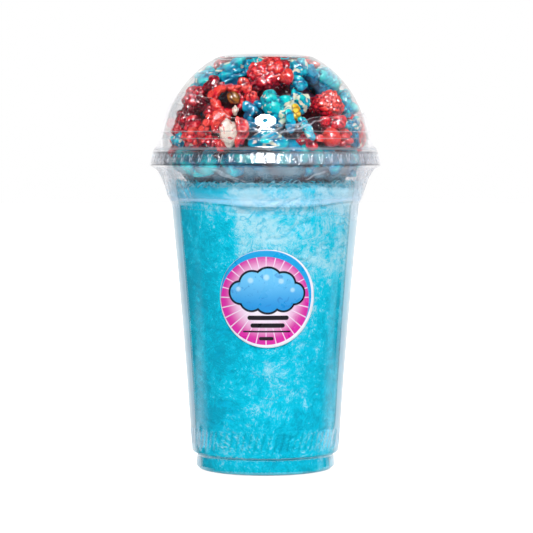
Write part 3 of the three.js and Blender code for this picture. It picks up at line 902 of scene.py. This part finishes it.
def make_wisps():
    """Wisps of spun sugar along the candy's torn top edge: thin arcs, three-sided, that taper to a point."""
    count, steps, sides = 1100, 7, 3
    rng = np.random.default_rng(WISP_SEED)
    along = np.linspace(0, 1, steps)[None, :, None]
    bearing = rng.uniform(0, 2 * math.pi, count)
    outward = round_axis(1, bearing, 0)
    sideways = round_axis(1, bearing + math.pi / 2, 0)
    height = CANDY_TOP - 0.3 + 0.6 * noise(9 * outward, 90) + rng.uniform(-1.3, 0.4, count)
    radius = cup_radius(height) - CUP_WALL - 0.45 - rng.uniform(0, 2.6, count) ** 1.3
    start = round_axis(radius, bearing, height)
    reach = sideways * rng.normal(0, 2.4, (count, 1)) - outward * rng.uniform(0, 1.5, (count, 1))
    reach[:, 2] = rng.uniform(0.2, 2.8, count)
    rise = joined(0, 0, rng.uniform(0, 0.9, count))
    path = start[:, None] + reach[:, None] * along + rise[:, None] * np.sin(math.pi * along)
    thick = rng.uniform(0.16, 0.42, (count, 1, 1)) * np.sqrt(1 - along**2)
    thick[:, [0, -1]] = 0
    turn = np.linspace(0, 2 * math.pi, sides, endpoint=False)[:, None]
    ring = outward[:, None, None] * np.cos(turn) + np.array([0, 0, 1.0]) * np.sin(turn)
    points = path[:, :, None] + thick[..., None] * ring
    pale = np.broadcast_to(rng.uniform(0.2, 0.9, (count, 1, 1)), points.shape[:-1])
    return [Surface(wisp, pale=tone, crease=0 * tone) for wisp, tone in zip(points, pale)]


def candy_folds(points):
    """Long folds of the candy, 1 on the crest."""
    return ridged(points / (15, 15, 9), 2, 40)


def make_candy():
    """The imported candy: a column against the cup's wall, pushed in along creases, with a torn top."""
    foot, above_step = FOOT_RADIUS - CANDY_GAP - 0.15, FLUTES_BOTTOM_RADIUS - CANDY_GAP - 0.2
    outline = [
        [0, CANDY_BOTTOM - 0.2],
        [25.0, CANDY_BOTTOM - 0.2],
        [26.9, CANDY_BOTTOM - 1.9],
        [28.8, CANDY_BOTTOM - 1.95],
        [29.3, CANDY_BOTTOM - 1.6],
        [foot, CANDY_BOTTOM - 0.8],
        [foot, STEP_HEIGHT + 0.6],
        [above_step - 0.3, STEP_HEIGHT + 0.75],
        [above_step, STEP_HEIGHT + 1.4],
        [above_step, FLUTES_BOTTOM],
        [FLUTES_TOP_RADIUS - CANDY_GAP - 0.25, FLUTES_TOP],
    ]
    up_the_wall = (FLUTES_TOP + 1.5, 40, 65, 90, LEDGE_BOTTOM, LEDGE_TOP, CANDY_TOP - 2)
    outline += [[cup_radius(z) - CANDY_GAP, z] for z in up_the_wall]
    outline += [[39.5, CANDY_TOP], [26, CANDY_TOP - 0.5], [0, CANDY_TOP - 0.5]]
    outline = divided(softened(outline, 1.2), 0.62)

    def packed(radius, angle, height):
        """Softly dented and creased where it meets the wall, and torn at the top."""
        place = round_axis(radius, angle, height)
        side = smooth(radius, 20, 28) * smooth(height, CANDY_BOTTOM + 0.5, CANDY_BOTTOM + 5)
        soft = 0.5 + 0.5 * layered(place / 9, 3, 3)
        creases = smooth(candy_folds(place), 0.80, 0.97)
        fluff = 0.5 + 0.5 * layered(place / 1.6, 2, 7)
        top = smooth(height, CANDY_TOP - 2.2, CANDY_TOP - 0.4)
        flat = place * (1, 1, 0)
        torn = 1.5 * layered(flat / 8, 3, 17) + 1.3 * ridged(flat / 2.3, 2, 19) + 1.4 * smooth(radius, 28, 38) - 1.9
        radius = radius - side * (0.35 * soft + 0.7 * creases + 0.15 * fluff) * smooth(radius, 1, 10)
        return radius, angle, height + top * torn + 0.3 * top * fluff

    points = revolved(outline, 290, packed)
    _, _, bearing, height = read_back(points)
    bearing = bearing + 8 * noise(points / 12, 81)
    cloud = between(bearing, -28, -14, 150, 180) * smooth(height + 9 * noise(points / 16, 82), 62, 92)
    pale = 0.16 + 0.48 * cloud + 0.25 * smooth(height, 111, 119) * smooth(bearing, -36, -8)
    pale = pale + 0.40 * layered(points / (24, 24, 20), 4, 60) + 0.16 * layered(points / 5, 3, 80)
    # Painted shade: the candy's left side is made darker, where less light falls.
    pale = pale - 0.22 * between(bearing, -130, -100, -60, -30)
    pale = pale + 0.10 * (1 - smooth(height, 14, 26)) + 0.1 * smooth(height, 112, 119)
    # Painted shade: darker where the candy is pushed in along its creases.
    crease = 0.8 * smooth(candy_folds(points), 0.84, 0.99)
    sugar = make_candy_sugar()
    add_piece("candy_mass", [Surface(points, pale=pale, crease=crease)], sugar, "candy", "cotton_candy")
    add_piece("candy_wisps", make_wisps(), sugar, "candy")


# ---------------------------------------------------------------------------------------------------------------
# Popcorn


def make_coat_group():
    """A candy coat over popped corn: colour, roughness and bump height from four colours and the kernel's marks.

    Marks: crease (0 to 1), where the coat is painted darker as painted shade; crest (0 to 1), where it is painted
    lighter as painted light; tone (0 dark to 1 bright, each kernel's own, lowered as painted shade underneath and deep
    in the heap); bare and hull.
    """
    tree = bpy.data.node_groups.new("candy_coat", "ShaderNodeTree")
    for label in ("Deep", "Full", "Bright", "Flesh"):
        socket = tree.interface.new_socket(label, in_out="INPUT", socket_type="NodeSocketColor")
        socket.default_value = (0.5, 0.5, 0.5, 1)
    for label, kind in (("Color", "Color"), ("Roughness", "Float"), ("Height", "Float")):
        tree.interface.new_socket(label, in_out="OUTPUT", socket_type="NodeSocket" + kind)
    nodes = Nodes(tree)
    deep, full, bright, flesh = (Value(nodes, socket) for socket in tree.nodes.new("NodeGroupInput").outputs[:4])
    result = tree.nodes.new("NodeGroupOutput").inputs

    place = nodes.place()
    patches = nodes.noise(place, 330.0, 5.0, 0.6, 0.8)
    specks = nodes.noise(place, 1200.0, 3.0, 0.55)
    # Crests are painted lighter and creases darker, as painted light and shade.
    level = nodes.mark("crest") * 0.6 + nodes.mark("tone") + (patches - 0.5) * 2.6
    colour = nodes.mix(nodes.fade(level, 0.25, 1.15), full, bright)
    colour = nodes.mix(nodes.fade(level, -0.7, 0.35, 0.95, 0.0), colour, deep)
    colour = nodes.mix(nodes.mark("crease") * 0.9, colour, deep)
    missing = nodes.fade((specks - 0.5) * 0.9 + nodes.mark("bare") + (patches - 0.5), 0.46, 0.60)
    flesh = nodes.mix(nodes.fade(patches, 0.35, 0.6), flesh, (0.88, 0.82, 0.70))
    hull = nodes.fade((specks - 0.5) * 0.4 + nodes.mark("hull"), 0.45, 0.6)
    browned = nodes.mix(nodes.fade(patches, 0.4, 0.62), (0.10, 0.03, 0.008), (0.42, 0.17, 0.025))
    nodes.put(nodes.mix(hull, nodes.mix(missing, colour, flesh), browned), result["Color"])
    nodes.put(nodes.fade(missing, 0.2, 0.8, 0.22, 0.6), result["Roughness"])
    nodes.put(specks * 0.45 + patches, result["Height"])
    return tree


COAT = make_coat_group()


def make_coating(name, deep, full, bright, flesh, glaze=1.0, glaze_ior=1.72, under_glaze=0.3):
    """Candied popcorn: the shared coat in its own four colours, under a hard clear glaze."""
    material, nodes, surface = new_material(name)
    colours = {"Deep": deep, "Full": full, "Bright": bright, "Flesh": flesh}
    made = nodes.all_of(nodes.add("Group", colours, node_tree=COAT))
    inputs = {"Base Color": made["Color"], "Roughness": made["Roughness"], "Specular IOR Level": under_glaze}
    inputs |= {"Coat Weight": glaze, "Coat Roughness": 0.1, "Coat IOR": glaze_ior}
    inputs["Normal"] = nodes.bump(made["Height"], 1.0, 0.0003)
    nodes.put(nodes.add("BsdfPrincipled", inputs), surface)
    return material


ROOM_RADIUS = DOME_RADIUS - LID_WALL - 0.4
ROOM_BOTTOM, ROOM_TOP = CANDY_TOP + 3.6, LID_TOP - 0.7 - LID_WALL - 0.3


def into_room(points):
    """Points moved inwards as far as it takes to clear the lid, the cup and the candy."""
    points = points.copy()
    points[..., 2] = np.clip(points[..., 2], ROOM_BOTTOM, ROOM_TOP)
    height = points[..., 2]
    middle = joined(0, 0, np.minimum(height, DOME_BASE))
    away = points - middle
    room = np.where(height < NECK_TOP, cup_radius(height) - CUP_WALL - 0.4, ROOM_RADIUS)
    room = np.minimum(room, ROOM_RADIUS)[..., None]
    return middle + away * np.minimum(1, room / np.maximum(length_of(away), 1e-6))


def sphere_of_directions(rows, columns):
    """Unit directions on a grid from pole to pole."""
    rise = np.linspace(-math.pi / 2, math.pi / 2, rows)[:, None]
    level = np.cos(rise)
    level[[0, -1]] = 0
    return round_axis(level, np.linspace(0, 2 * math.pi, columns, endpoint=False), np.sin(rise))


def spread_directions(count, rng):
    """Unit directions evenly over the sphere, on a spiral of golden-angle steps, each a little off."""
    step = np.arange(count) + 0.5
    rise, turn = np.arcsin(1 - 2 * step / count), step * math.pi * (3 - math.sqrt(5))
    way = round_axis(np.cos(rise), turn, np.sin(rise))
    return unit(way + rng.normal(size=(count, 3)) * 0.35 / math.sqrt(count))


def smoothed(values, times=1):
    """Each value of a grid averaged with its neighbours. Columns wrap round."""
    for _ in range(times):
        over = (np.roll(values, 1, 1) + np.roll(values, -1, 1)) / 2
        up = np.concatenate([values[:1], values[:-1]])
        down = np.concatenate([values[1:], values[-1:]])
        values = 0.4 * values + 0.3 * over + 0.15 * (up + down)
    return values


# Forms of a kernel: rings of lobes as count, distance from the middle, radius, how much each varies and how long it
# is drawn out, then the number of small knobs over them, how far those stand out, how much they tilt, and how much
# the kernel folds.
KERNEL_FORMS = {
    "ball": ([(1, 0.0, 0.36, 0.0, 1.0), (9, 0.18, 0.24, 0.15, 1.1)], 120, 0.12, 0.45, 0.1),
    "knobbly": ([(1, 0.0, 0.30, 0.0, 1.0), (7, 0.21, 0.21, 0.35, 1.8)], 60, 0.08, 0.6, 0.22),
    "smooth": ([(1, 0.0, 0.28, 0.0, 1.0), (5, 0.16, 0.26, 0.3, 1.8)], 24, 0.06, 0.9, 0.26),
    "faceted": ([(1, 0.0, 0.34, 0.0, 1.0), (7, 0.18, 0.24, 0.3, 1.8)], 26, 0.13, 1.3, 0.2),
    "winged": ([(1, 0.0, 0.24, 0.0, 1.0), (5, 0.24, 0.20, 0.35, 2.1), (3, 0.34, 0.12, 0.3, 1.6)], 34, 0.06, 0.7, 0.3),
    "oval": ([(1, 0.0, 0.40, 0.0, 1.2), (3, 0.10, 0.34, 0.2, 1.2)], 10, 0.02, 0.5, 0.15),
    "finger": ([(7, 0.33, 0.19, 0.15, 1.0)], 24, 0.035, 0.4, 0.1),
}
JOIN_SHARPNESS = 24  # the power that joins lobes: the higher, the sharper their creases


def popped(rng, form, bare_share, hull_share, rows, columns):
    """A popped kernel of about unit size, and its marks.

    Along each direction it reaches the farthest of its lobes, which are drawn-out balls, joined softly at the
    creases: (sum of t**p)**(1/p) of the exit distances t. Over them lie knobs, one for each of a set of directions:
    the nearest direction owns a place, its knob rises with the lead over the second nearest and tilts its own way.
    The directions are swirled first, so that lobes and knobs fold.
    """
    lobes, knobs, relief, tilted, fold = KERNEL_FORMS[form]
    way = sphere_of_directions(rows, columns)
    shift = rng.uniform(0, 50, 3)
    swirl = joined(*(noise(way * 1.7 + shift, seed) for seed in (1, 2, 3)))
    looked = unit(way + 1.2 * fold * swirl)
    reached = []
    for count, distance, size, varied, drawn in lobes:
        spread = distance * (1 + 0.5 * varied * rng.uniform(-1, 1, (count, 1)))
        centres = spread_directions(count, rng) * spread
        if form == "finger":
            centres = centres * (0.3, 0.3, 0) + np.linspace(-1, 1, count)[:, None] * (0, 0, distance)
        squeeze = 1 / drawn - 1
        for centre in centres:
            grain = rng.normal(size=3)
            grain *= squeeze / (grain @ grain)
            radius = size * (1 + varied * rng.uniform(-1, 1)) / math.sqrt(drawn)
            axis = grain / max(np.linalg.norm(grain), 1e-9)
            ray = looked + (looked @ axis)[..., None] * axis * squeeze
            middle = centre + (centre @ axis) * axis * squeeze
            along, square = ray @ middle, (ray**2).sum(-1)
            under = along**2 - square * (middle @ middle - radius**2)
            reached.append(np.where(under > 0, (along + np.sqrt(np.maximum(under, 0))) / square, 0))
    powers = (np.maximum(np.stack(reached, -1), 0.02) / 0.5) ** JOIN_SHARPNESS
    reach = 0.5 * powers.sum(-1) ** (1 / JOIN_SHARPNESS)

    wander = joined(*(noise(way * 4.5 + shift, seed) for seed in (6, 7, 8)))
    pulled = unit(looked + 0.16 * wander)
    owners = spread_directions(knobs, rng)
    owners = unit(owners + rng.normal(size=(knobs, 3)) * 0.5 / math.sqrt(knobs))
    spacing = math.sqrt(4 * math.pi / knobs)
    closeness = pulled @ owners.T + 0.30 * spacing**2 * rng.uniform(-1, 1, knobs)
    first = closeness.argmax(-1)
    second, best = np.moveaxis(np.sort(closeness, -1)[..., -2:], -1, 0)
    lead = (best - second) / (spacing**2 / 2)
    profile = np.sin(np.clip(lead, 0, 1) * math.pi / 2)
    tilts, heights = rng.normal(size=(knobs, 3)), rng.uniform(-1, 1, knobs)
    tilt = ((pulled - owners[first]) * tilts[first]).sum(-1) / spacing
    knob = profile + tilted * tilt + 0.5 * heights[first]
    fine = np.abs(noise(way * 13 + shift, 5))
    wrinkle = ridged(looked * 4 + shift, 2, 9)
    reach = smoothed(reach * (1 + relief * (knob - 0.6) + 0.05 * (fine - 0.3) + 0.06 * wrinkle))

    near, far = smoothed(reach, 2), smoothed(reach, 10)
    # crease and crest mark the dips and bulges, where the coat is painted darker and lighter: painted shade and light.
    crease = np.clip((near - reach) / 0.010 + (far - reach) / 0.030, 0, 1)
    crease = np.maximum(crease, 0.25 * (1 - smooth(lead, 0.0, 0.35)) * min(1, relief / 0.07))
    crest = np.clip((reach - far) / 0.03, 0, 1)
    bare = smooth(1.4 * noise(way * 2.4 + shift, 8) + 1.5 * bare_share - 0.75, -0.45, 0.35) * (bare_share > 0)
    hull = smooth(way @ spread_directions(3, rng)[0], 0.86, 0.95) * hull_share
    points = way * reach[..., None] + 0.10 * fold * swirl
    turning, _ = np.linalg.qr(rng.normal(size=(3, 3)))
    if np.linalg.det(turning) < 0:
        turning[:, 0] *= -1
    if form == "finger":
        turning = np.eye(3)
    return points @ turning.T, {"crease": crease, "crest": crest, "bare": bare, "hull": hull}


def ring_kernel(rows=40, columns=150):
    """A kernel popped into a ring round a hollow, unit sized, of a tube whose thickness and height wander."""
    along = np.linspace(0, 2 * math.pi, columns, endpoint=False)[None, :]
    over = np.linspace(0, 2 * math.pi, rows, endpoint=False)[:, None]
    lobes = 0.5 + 0.5 * np.cos(5 * along + 1.1 + 0.8 * np.cos(over))
    tube = 0.105 + 0.03 * lobes + 0.008 * np.cos(13 * along + 3 * over)
    ring = 0.37 + 0.03 * np.cos(2 * along + 0.6) + 0.015 * np.cos(5 * along)
    out = ring + tube * np.cos(over)
    points = joined(out * np.cos(along), tube * np.sin(over) * 1.3 + 0.12 * np.cos(along - 0.7), out * np.sin(along))
    bumps = np.abs(noise(points * 9, 6))
    # Painted shade: darker on the side towards the hole and in the dips between the lobes.
    crease = np.clip(0.6 - smooth(lobes, 0.0, 0.3) + 0.7 * smooth(-np.cos(over), 0.3, 1) - 0.6 * bumps, 0, 1)
    crest = smooth(lobes * np.abs(np.sin(over)), 0.4, 0.9)
    marks = {"crease": crease, "crest": crest, "bare": 0 * lobes, "hull": 0 * lobes}
    return points * (1 + 0.06 * (bumps - 0.3))[..., None], marks


# Kernels that show at the front: x and z of the middle, width and height, lean in degrees and how far they lie
# behind the lid, all in millimetres, then colour, form, tone (set lower on some kernels at the left, partly as
# painted shade) and the share of bare lobes.
FRONT_KERNELS = [
    (-13.0, 173.4, 18.5, 14.5, 8, 0, "blue", "faceted", 0.45, 0.1),
    (-4.0, 178.0, 6, 5, 0, 2, "blue", "smooth", 0.5, 0.1),
    (0.6, 171.8, 18.0, 17.0, 0, 0, "red", "ball", 0.55, 0.0),
    (9.2, 171.7, 6, 7.4, -10, -0.5, "red", "oval", 0.75, 0.0),
    (5.5, 177.3, 6, 5, 20, 1, "red", "smooth", -0.2, 0.0),
    (13.2, 175.0, 11.5, 10, 20, 0.5, "blue", "knobbly", 0.5, 0.2),
    (14.2, 168.8, 8, 7, 0, 1, "blue", "smooth", 0.35, 0.12),
    (19.5, 173.0, 8, 9, -30, 1.5, "blue", "smooth", 0.0, 0.0),
    (26.0, 170.2, 14, 14.5, -40, 0.3, "blue", "faceted", 0.75, 0.0),
    (19.0, 177.8, 10, 5, -15, 2, "red", "smooth", 0.4, 0.0),
    (-26.0, 171.6, 12.5, 9.5, 25, 1, "blue", "smooth", 0.6, 0.15),
    (-22.6, 168.6, 10.5, 8, 10, 0, "red", "faceted", -0.45, 0.0),
    (-15.6, 161.3, 15.5, 14.8, 0, -1.2, "red", "ring", 0.7, 0.0),
    (-21.4, 160.6, 4.6, 12, 22, -0.6, "red", "finger", 0.7, 0.0),
    (-9.8, 167.2, 8, 7.5, 30, 1.2, "red", "smooth", 0.85, 0.0),
    (-5.8, 162.3, 6.5, 6.5, 0, 1.6, "red", "smooth", 0.6, 0.0),
    (-13.4, 162.4, 5.4, 6.6, 42, 3.0, "hull", "oval", 0.3, 0.0),
    (-12.7, 157.0, 3, 4.5, 0, 1.0, "cream", "knobbly", 0.3, 0.8),
    (-29.5, 161.8, 14, 13, 0, 0, "red", "ball", -0.1, 0.0),
    (-22.5, 157.4, 9, 8, 0, 2.5, "red", "winged", -0.5, 0.0),
    (-34.0, 154.3, 10, 11.5, 10, 0.5, "red", "faceted", -0.55, 0.0),
    (-31.0, 150.8, 9, 9, 20, -0.2, "red", "smooth", 0.0, 0.0),
    (-25.2, 150.6, 4.6, 10.5, -32, -0.8, "red", "finger", 0.95, 0.0),
    (-19.6, 152.3, 8.5, 11, -25, -0.5, "red", "smooth", 0.8, 0.0),
    (-30.5, 145.0, 12, 10, 0, 0, "red", "faceted", 0.5, 0.12),
    (-23.5, 144.6, 8, 8, 0, 1, "red", "knobbly", 0.1, 0.12),
    (-15.2, 147.2, 8.6, 13.4, 4, -0.8, "cream", "ball", 0.3, 0.72),
    (-10.0, 147.6, 6.5, 13.5, -4, -0.3, "red", "knobbly", 0.5, 0.0),
    (-18.6, 142.0, 5, 6, 20, 0.2, "red", "smooth", 0.6, 0.0),
    (-5.4, 157.6, 9, 10, 0, 3, "blue", "winged", -0.3, 0.05),
    (-5.8, 151.2, 6.5, 6.5, 0, 1.5, "blue", "smooth", -0.2, 0.0),
    (1.2, 144.6, 17.5, 10, 0, -0.5, "blue", "smooth", 0.4, 0.2),
    (3.8, 159.6, 13.0, 12.0, -15, 0, "blue", "smooth", 0.95, 0.12),
    (13.6, 160.4, 11.5, 12.5, 10, 0, "blue", "knobbly", 0.55, 0.36),
    (8.4, 155.6, 8.5, 8, 20, 0.8, "blue", "winged", 0.5, 0.75),
    (13.0, 156.2, 4.2, 7.5, 0, -0.6, "yellow", "finger", 0.6, 0.0),
    (10.6, 152.4, 4.6, 10.5, 4, -0.8, "blue", "finger", 0.4, 0.0),
    (17.6, 149.4, 4.4, 12, 32, -0.8, "blue", "finger", 0.8, 0.12),
    (3.0, 152.0, 9, 7, 0, 2, "blue", "winged", 0.1, 0.2),
    (26.4, 159.6, 16, 13.5, 0, 0, "red", "ball", 0.75, 0.0),
    (28.6, 151.6, 13, 8.5, 0, 1, "red", "smooth", 0.0, 0.0),
    (19.2, 144.2, 13, 8.5, 0, 0.3, "red", "winged", 0.2, 0.04),
    (28.0, 145.6, 9, 8.5, 0, -0.5, "red", "oval", 0.9, 0.0),
    (34.4, 145.2, 7.5, 9, 0, 0, "red", "finger", 0.5, 0.0),
    (37.3, 150.8, 8.5, 8.5, 0, 0.3, "blue", "knobbly", 0.5, 0.25),
    (38.4, 144.6, 5, 8, 0, 0.5, "blue", "smooth", -0.2, 0.0),
    (34.6, 162.2, 7.5, 10, -20, 0, "blue", "smooth", 0.6, 0.1),
    (35.2, 156.8, 6, 6.5, 0, 0.5, "blue", "smooth", 0.4, 0.0),
    (-37.6, 144.6, 7, 7, 0, 0, "blue", "smooth", 0.5, 0.15),
    (-38.0, 149.6, 6, 7, 0, 0.3, "red", "smooth", 0.2, 0.0),
]

# Rows of kernels elsewhere: height, radius, count and first and last bearing in degrees from the right.
KERNEL_ROWS = [
    (135.4, 34.5, 19, 0, 341),
    (134.4, 25.0, 9, 10, 330),
    (144.5, 36.5, 9, 10, 170),
    (155.0, 33.5, 9, 6, 174),
    (164.5, 27.5, 7, 12, 168),
    (172.0, 18.5, 5, 22, 158),
    (174.0, 7.0, 4, 0, 270),
]
BARE_SHARES = {"red": 0.02, "blue": 0.12, "cream": 0.8}


def make_kernel(number, kind, form, centre, size, lean, tone, bare_share, rows, hull_share=0.0):
    """A kernel of that form from its own seed, fitted to its size, leaned to the left and put in its place."""
    if form == "ring":
        points, marks = ring_kernel()
    else:
        own = np.random.default_rng([KERNEL_SEED, number])
        points, marks = popped(own, form, bare_share, hull_share, rows, round(1.45 * rows))
    low, high = points.min((0, 1)), points.max((0, 1))
    x, y, z = np.moveaxis((points - (low + high) / 2) * (np.asarray(size) / (high - low)), -1, 0)
    slope = math.radians(lean)
    points = joined(x * math.cos(slope) - z * math.sin(slope), y, x * math.sin(slope) + z * math.cos(slope))
    under = smooth(-points[..., 2] / size[2], 0.05, 0.5)
    if kind == "hull":
        marks["hull"] = marks["hull"] * 0 + 1
    points = into_room(points + centre)
    # Painted shade: the tone drops on the kernel's underside and deep in the heap, where less light reaches.
    buried = ROOM_RADIUS - length_of(points - (0, 0, DOME_BASE))[..., 0]
    buried = np.minimum(buried, ROOM_TOP + 2 - points[..., 2])
    marks["tone"] = tone - 0.5 * under - 1.1 * smooth(buried, 4, 10)
    return Surface(points, ring=form == "ring", **marks)


def front_kernels():
    """The kernels that show at the front, each as what make_kernel takes after the number."""
    for x, z, wide, tall, lean, back, kind, form, tone, bare_share in FRONT_KERNELS:
        reach = ROOM_RADIUS - 0.56 * min(wide, tall) - back
        depth = math.sqrt(max(0.0, reach**2 - x**2 - (z - DOME_BASE) ** 2))
        size = (wide, min(1.3 * min(wide, tall), (wide + tall) / 2), tall)
        rows = round((20 + 1.9 * tall) * (1.5 if form == "ball" else 1.0))
        yield kind, form, np.array([x, -depth, z]), size, lean, tone, bare_share, rows


def other_kernels(rng):
    """The rows of kernels elsewhere: blue and low in the cup's neck, and in a mix under the dome."""
    for height, radius, count, first, last in KERNEL_ROWS:
        low = height < RIM_TOP
        for bearing in np.radians(np.linspace(first, last, count)):
            bearing += 0.08 * rng.normal()
            centre = np.array([radius * math.cos(bearing), radius * math.sin(bearing), height + 1.5 * rng.normal()])
            kind = rng.choice(["blue"] if low else ["red", "red", "red", "blue", "blue", "cream"])
            form = rng.choice(["smooth"] if low else ["knobbly", "smooth", "ball", "winged"])
            size = KERNEL_WIDTH * rng.uniform(0.8, 1.15, 3) * (1, 1, 0.85 if low else 1)
            tone = rng.uniform(0.3, 1.0) if low else rng.uniform(-0.4, 0.7)
            if low:
                yield kind, form, centre, size, 0, tone, 0.0, 22
            else:
                yield kind, form, centre, size, 0, tone, BARE_SHARES[kind], 34, float(rng.random() < 0.3)


def make_popcorn():
    """Every kernel by colour, over a dark lumpy core, coloured as painted shade, that fills the middle of the heap."""
    kinds = {"red": [], "blue": [], "cream": [], "yellow": []}
    kernels = [*front_kernels(), *other_kernels(np.random.default_rng(KERNEL_SEED))]
    for number, kernel in enumerate(kernels, 1):
        kinds["yellow" if kernel[0] == "hull" else kernel[0]].append(make_kernel(number, *kernel))
    thin = 0.6, 1.6, 0.1  # the glaze on blue kernels
    coats = {
        "red": ("red_coat", (0.11, 0.0, 0.01), (0.86, 0.008, 0.03), (1.0, 0.075, 0.05), (0.80, 0.55, 0.38)),
        "blue": ("blue_coat", (0.0, 0.09, 0.22), (0.0, 0.38, 0.62), (0.0, 0.66, 0.68), (0.62, 0.80, 0.52), *thin),
        "cream": ("bare_corn", (0.35, 0.01, 0.02), (0.80, 0.05, 0.04), (0.95, 0.35, 0.25), (0.80, 0.66, 0.55)),
        "yellow": ("golden_coat", (0.35, 0.15, 0.0), (0.85, 0.48, 0.01), (1.0, 0.68, 0.04), (0.85, 0.75, 0.45)),
    }
    for kind, surfaces in kinds.items():
        replaced = ["popcorn"] if kind == "red" else []
        add_piece("popcorn_" + kind, surfaces, make_coating(*coats[kind]), "popcorn", *replaced)

    way = sphere_of_directions(80, 130)
    points = way * (CORE_RADIUS + CORE_LUMPS * layered(way * 5, 3, 70))[..., None] + np.array([0, 0, DOME_BASE])
    points[..., 2] = np.maximum(points[..., 2], CANDY_TOP + 1.0)
    low = 1 - smooth(points[..., 2], RIM_TOP - 1, RIM_TOP + 3)
    points[..., :2] *= 1 + CORE_WIDENING * low[..., None]
    # The core is painted shade for the heap's dark inside: dark above the rim, grey blue below it, where it stands for
    # the dim space seen through the film.
    marks = dict.fromkeys(("crest", "bare", "hull"), 0 * low)
    marks |= {"crease": 1 - low, "tone": low * (1.3 + 2.4 * layered(way * 7, 2, 71)) - 1}
    shaded = make_coating("shaded_coat", (0.05, 0.0, 0.008), (0.03, 0.11, 0.17), (0.12, 0.26, 0.34), (0.2, 0.12, 0.08))
    add_piece("popcorn_core", [Surface(points, **marks)], shaded, "popcorn")


# ---------------------------------------------------------------------------------------------------------------
# Studio


def make_surroundings():
    """White surroundings with soft lights.

    The camera sees plain white. Gloss mirrors a lit backdrop behind the object, the floor, an eight-sided softbox
    high in front and darkness round the camera. All else is lit by that softbox, two at the back and soft fill.
    """
    world = bpy.data.worlds.new("studio")
    bpy.context.scene.world = world
    nodes, surface = emptied(world, "World")
    way = nodes.vector("NORMALIZE", nodes.add("TexCoord", output="Generated"))
    x, y, z = nodes.axes(way)

    def window(azimuth, elevation, half_width, half_height, soft):
        """1 inside an eight-sided window in the sky. The azimuth runs from the camera's side to the right."""
        a, e = math.radians(azimuth), math.radians(elevation)
        ahead = (math.sin(a) * math.cos(e), -math.cos(a) * math.cos(e), math.sin(e))
        over = (-math.sin(a) * math.sin(e), math.cos(a) * math.sin(e), math.cos(e))
        u = abs(nodes.dot(way, (math.cos(a), math.sin(a), 0.0))) / math.sin(math.radians(half_width))
        v = abs(nodes.dot(way, over)) / math.sin(math.radians(half_height))
        far = nodes.most(u, v, (u + v) * 0.72)
        front = nodes.math("GREATER_THAN", nodes.dot(way, ahead), 0.0)
        return nodes.fade(far, 1 - soft, 1 + soft, 1.0, 0.0) * front

    lamp = (window(0, 30, 10.6, 6.6, 0.03) - window(0, 30, 2.9, 2.3, 0.1)) * 35.0

    # What gloss mirrors. behind is above 0 within about 45 degrees of straight behind the object. inner is 1 for
    # what is mirrored inside the pack, behind several clear faces: there it is dim, with a few gleams.
    behind = y - abs(x) * (nodes.math("LESS_THAN", x, 0.0) * 0.17 + 0.63)
    backdrop = nodes.fade(behind, -0.015, 0.015) * nodes.fade(behind, 0.0, 0.7, 0.52, 1.1)
    backdrop = backdrop * nodes.fade(z, 0.78, 0.88, 1.0, 0.0)
    floor_near = nodes.fade(z, -0.58, -0.45, 1.2, 0.0)
    table = nodes.fade(z, -0.18, -0.15, 1.0, 0.0) * nodes.fade(y, 0.0, 0.5)
    veil = window(106, 20, 13, 34, 0.15) * 0.45
    inner = nodes.math("GREATER_THAN", nodes.ray("Transparent Depth"), 3.5)
    glossy = nodes.most(backdrop, floor_near, table, veil) * (inner * -0.96 + 1.0) + 0.03 + lamp * 1.4
    gleams = (0, 33, 17, 14.0), (58, 20, 10, 9.0), (-58, 26, 10, 8.0), (0, 74, 10, 8.0)
    for azimuth, elevation, size, strength in gleams:
        glossy = window(azimuth, elevation, size, size, 0.1) * strength * inner + glossy

    # What lights the rest.
    fill = z * 0.16 + 0.24 + nodes.fade(y, -0.15, 0.5, 0.0, 0.7)
    for azimuth, strength in ((125, 1.2), (-125, 1.2), (62, 1.6)):
        fill = window(azimuth, 30, 16, 20, 0.2) * strength + fill
    light = nodes.blend(nodes.ray("Is Glossy Ray"), fill + lamp, glossy)
    light = nodes.blend(nodes.ray("Is Camera Ray"), light, 1.0)
    nodes.put(nodes.add("Background", {"Color": WHITE, "Strength": light}), surface)


def make_floor():
    """A pale round floor, bright where the camera sees it, that gloss does not mirror."""
    mesh = bpy.data.meshes.new("floor")
    corners = round_axis(6, np.linspace(0, 2 * math.pi, 64, endpoint=False), 0)
    mesh.from_pydata(corners.tolist(), [], [list(range(64))])
    floor = bpy.data.objects.new("floor", mesh)
    bpy.context.scene.collection.objects.link(floor)
    material, nodes, surface = new_material("pale_floor")
    colour = nodes.mix(nodes.noise(nodes.place(), 3.0), (0.80, 0.80, 0.80), (0.84, 0.84, 0.84))
    inputs = {"Base Color": colour, "Roughness": 0.6, "Emission Color": WHITE}
    inputs["Emission Strength"] = nodes.ray("Is Camera Ray") * 0.62
    nodes.put(nodes.add("BsdfPrincipled", inputs), surface)
    mesh.materials.append(material)
    floor.visible_glossy = False


def make_camera():
    """The camera stands a little over a metre away, level with the lid's skirt, and looks slightly down."""
    lens = bpy.data.cameras.new("camera")
    lens.sensor_width, lens.lens = 36, 162.1
    lens.clip_start, lens.clip_end = 0.05, 50
    camera = bpy.data.objects.new("camera", lens)
    bpy.context.scene.collection.objects.link(camera)
    camera.location = (0.0, -1.055, 0.1372)
    aim = (0.0005, 0.0, 0.0891)
    away = np.array(camera.location) - np.array(aim)
    tilt = math.atan2(math.hypot(away[0], away[1]), away[2])
    camera.rotation_euler = (tilt, 0.0, math.atan2(away[0], -away[1]))
    bpy.context.scene.camera = camera


make_cup()
make_lid()
make_film()
make_label()
make_candy()
make_popcorn()
make_surroundings()
make_floor()
make_camera()

scene = bpy.context.scene
scene.view_settings.view_transform = "Standard"
scene.cycles.transparent_max_bounces = 48
scene.cycles.max_bounces = 12
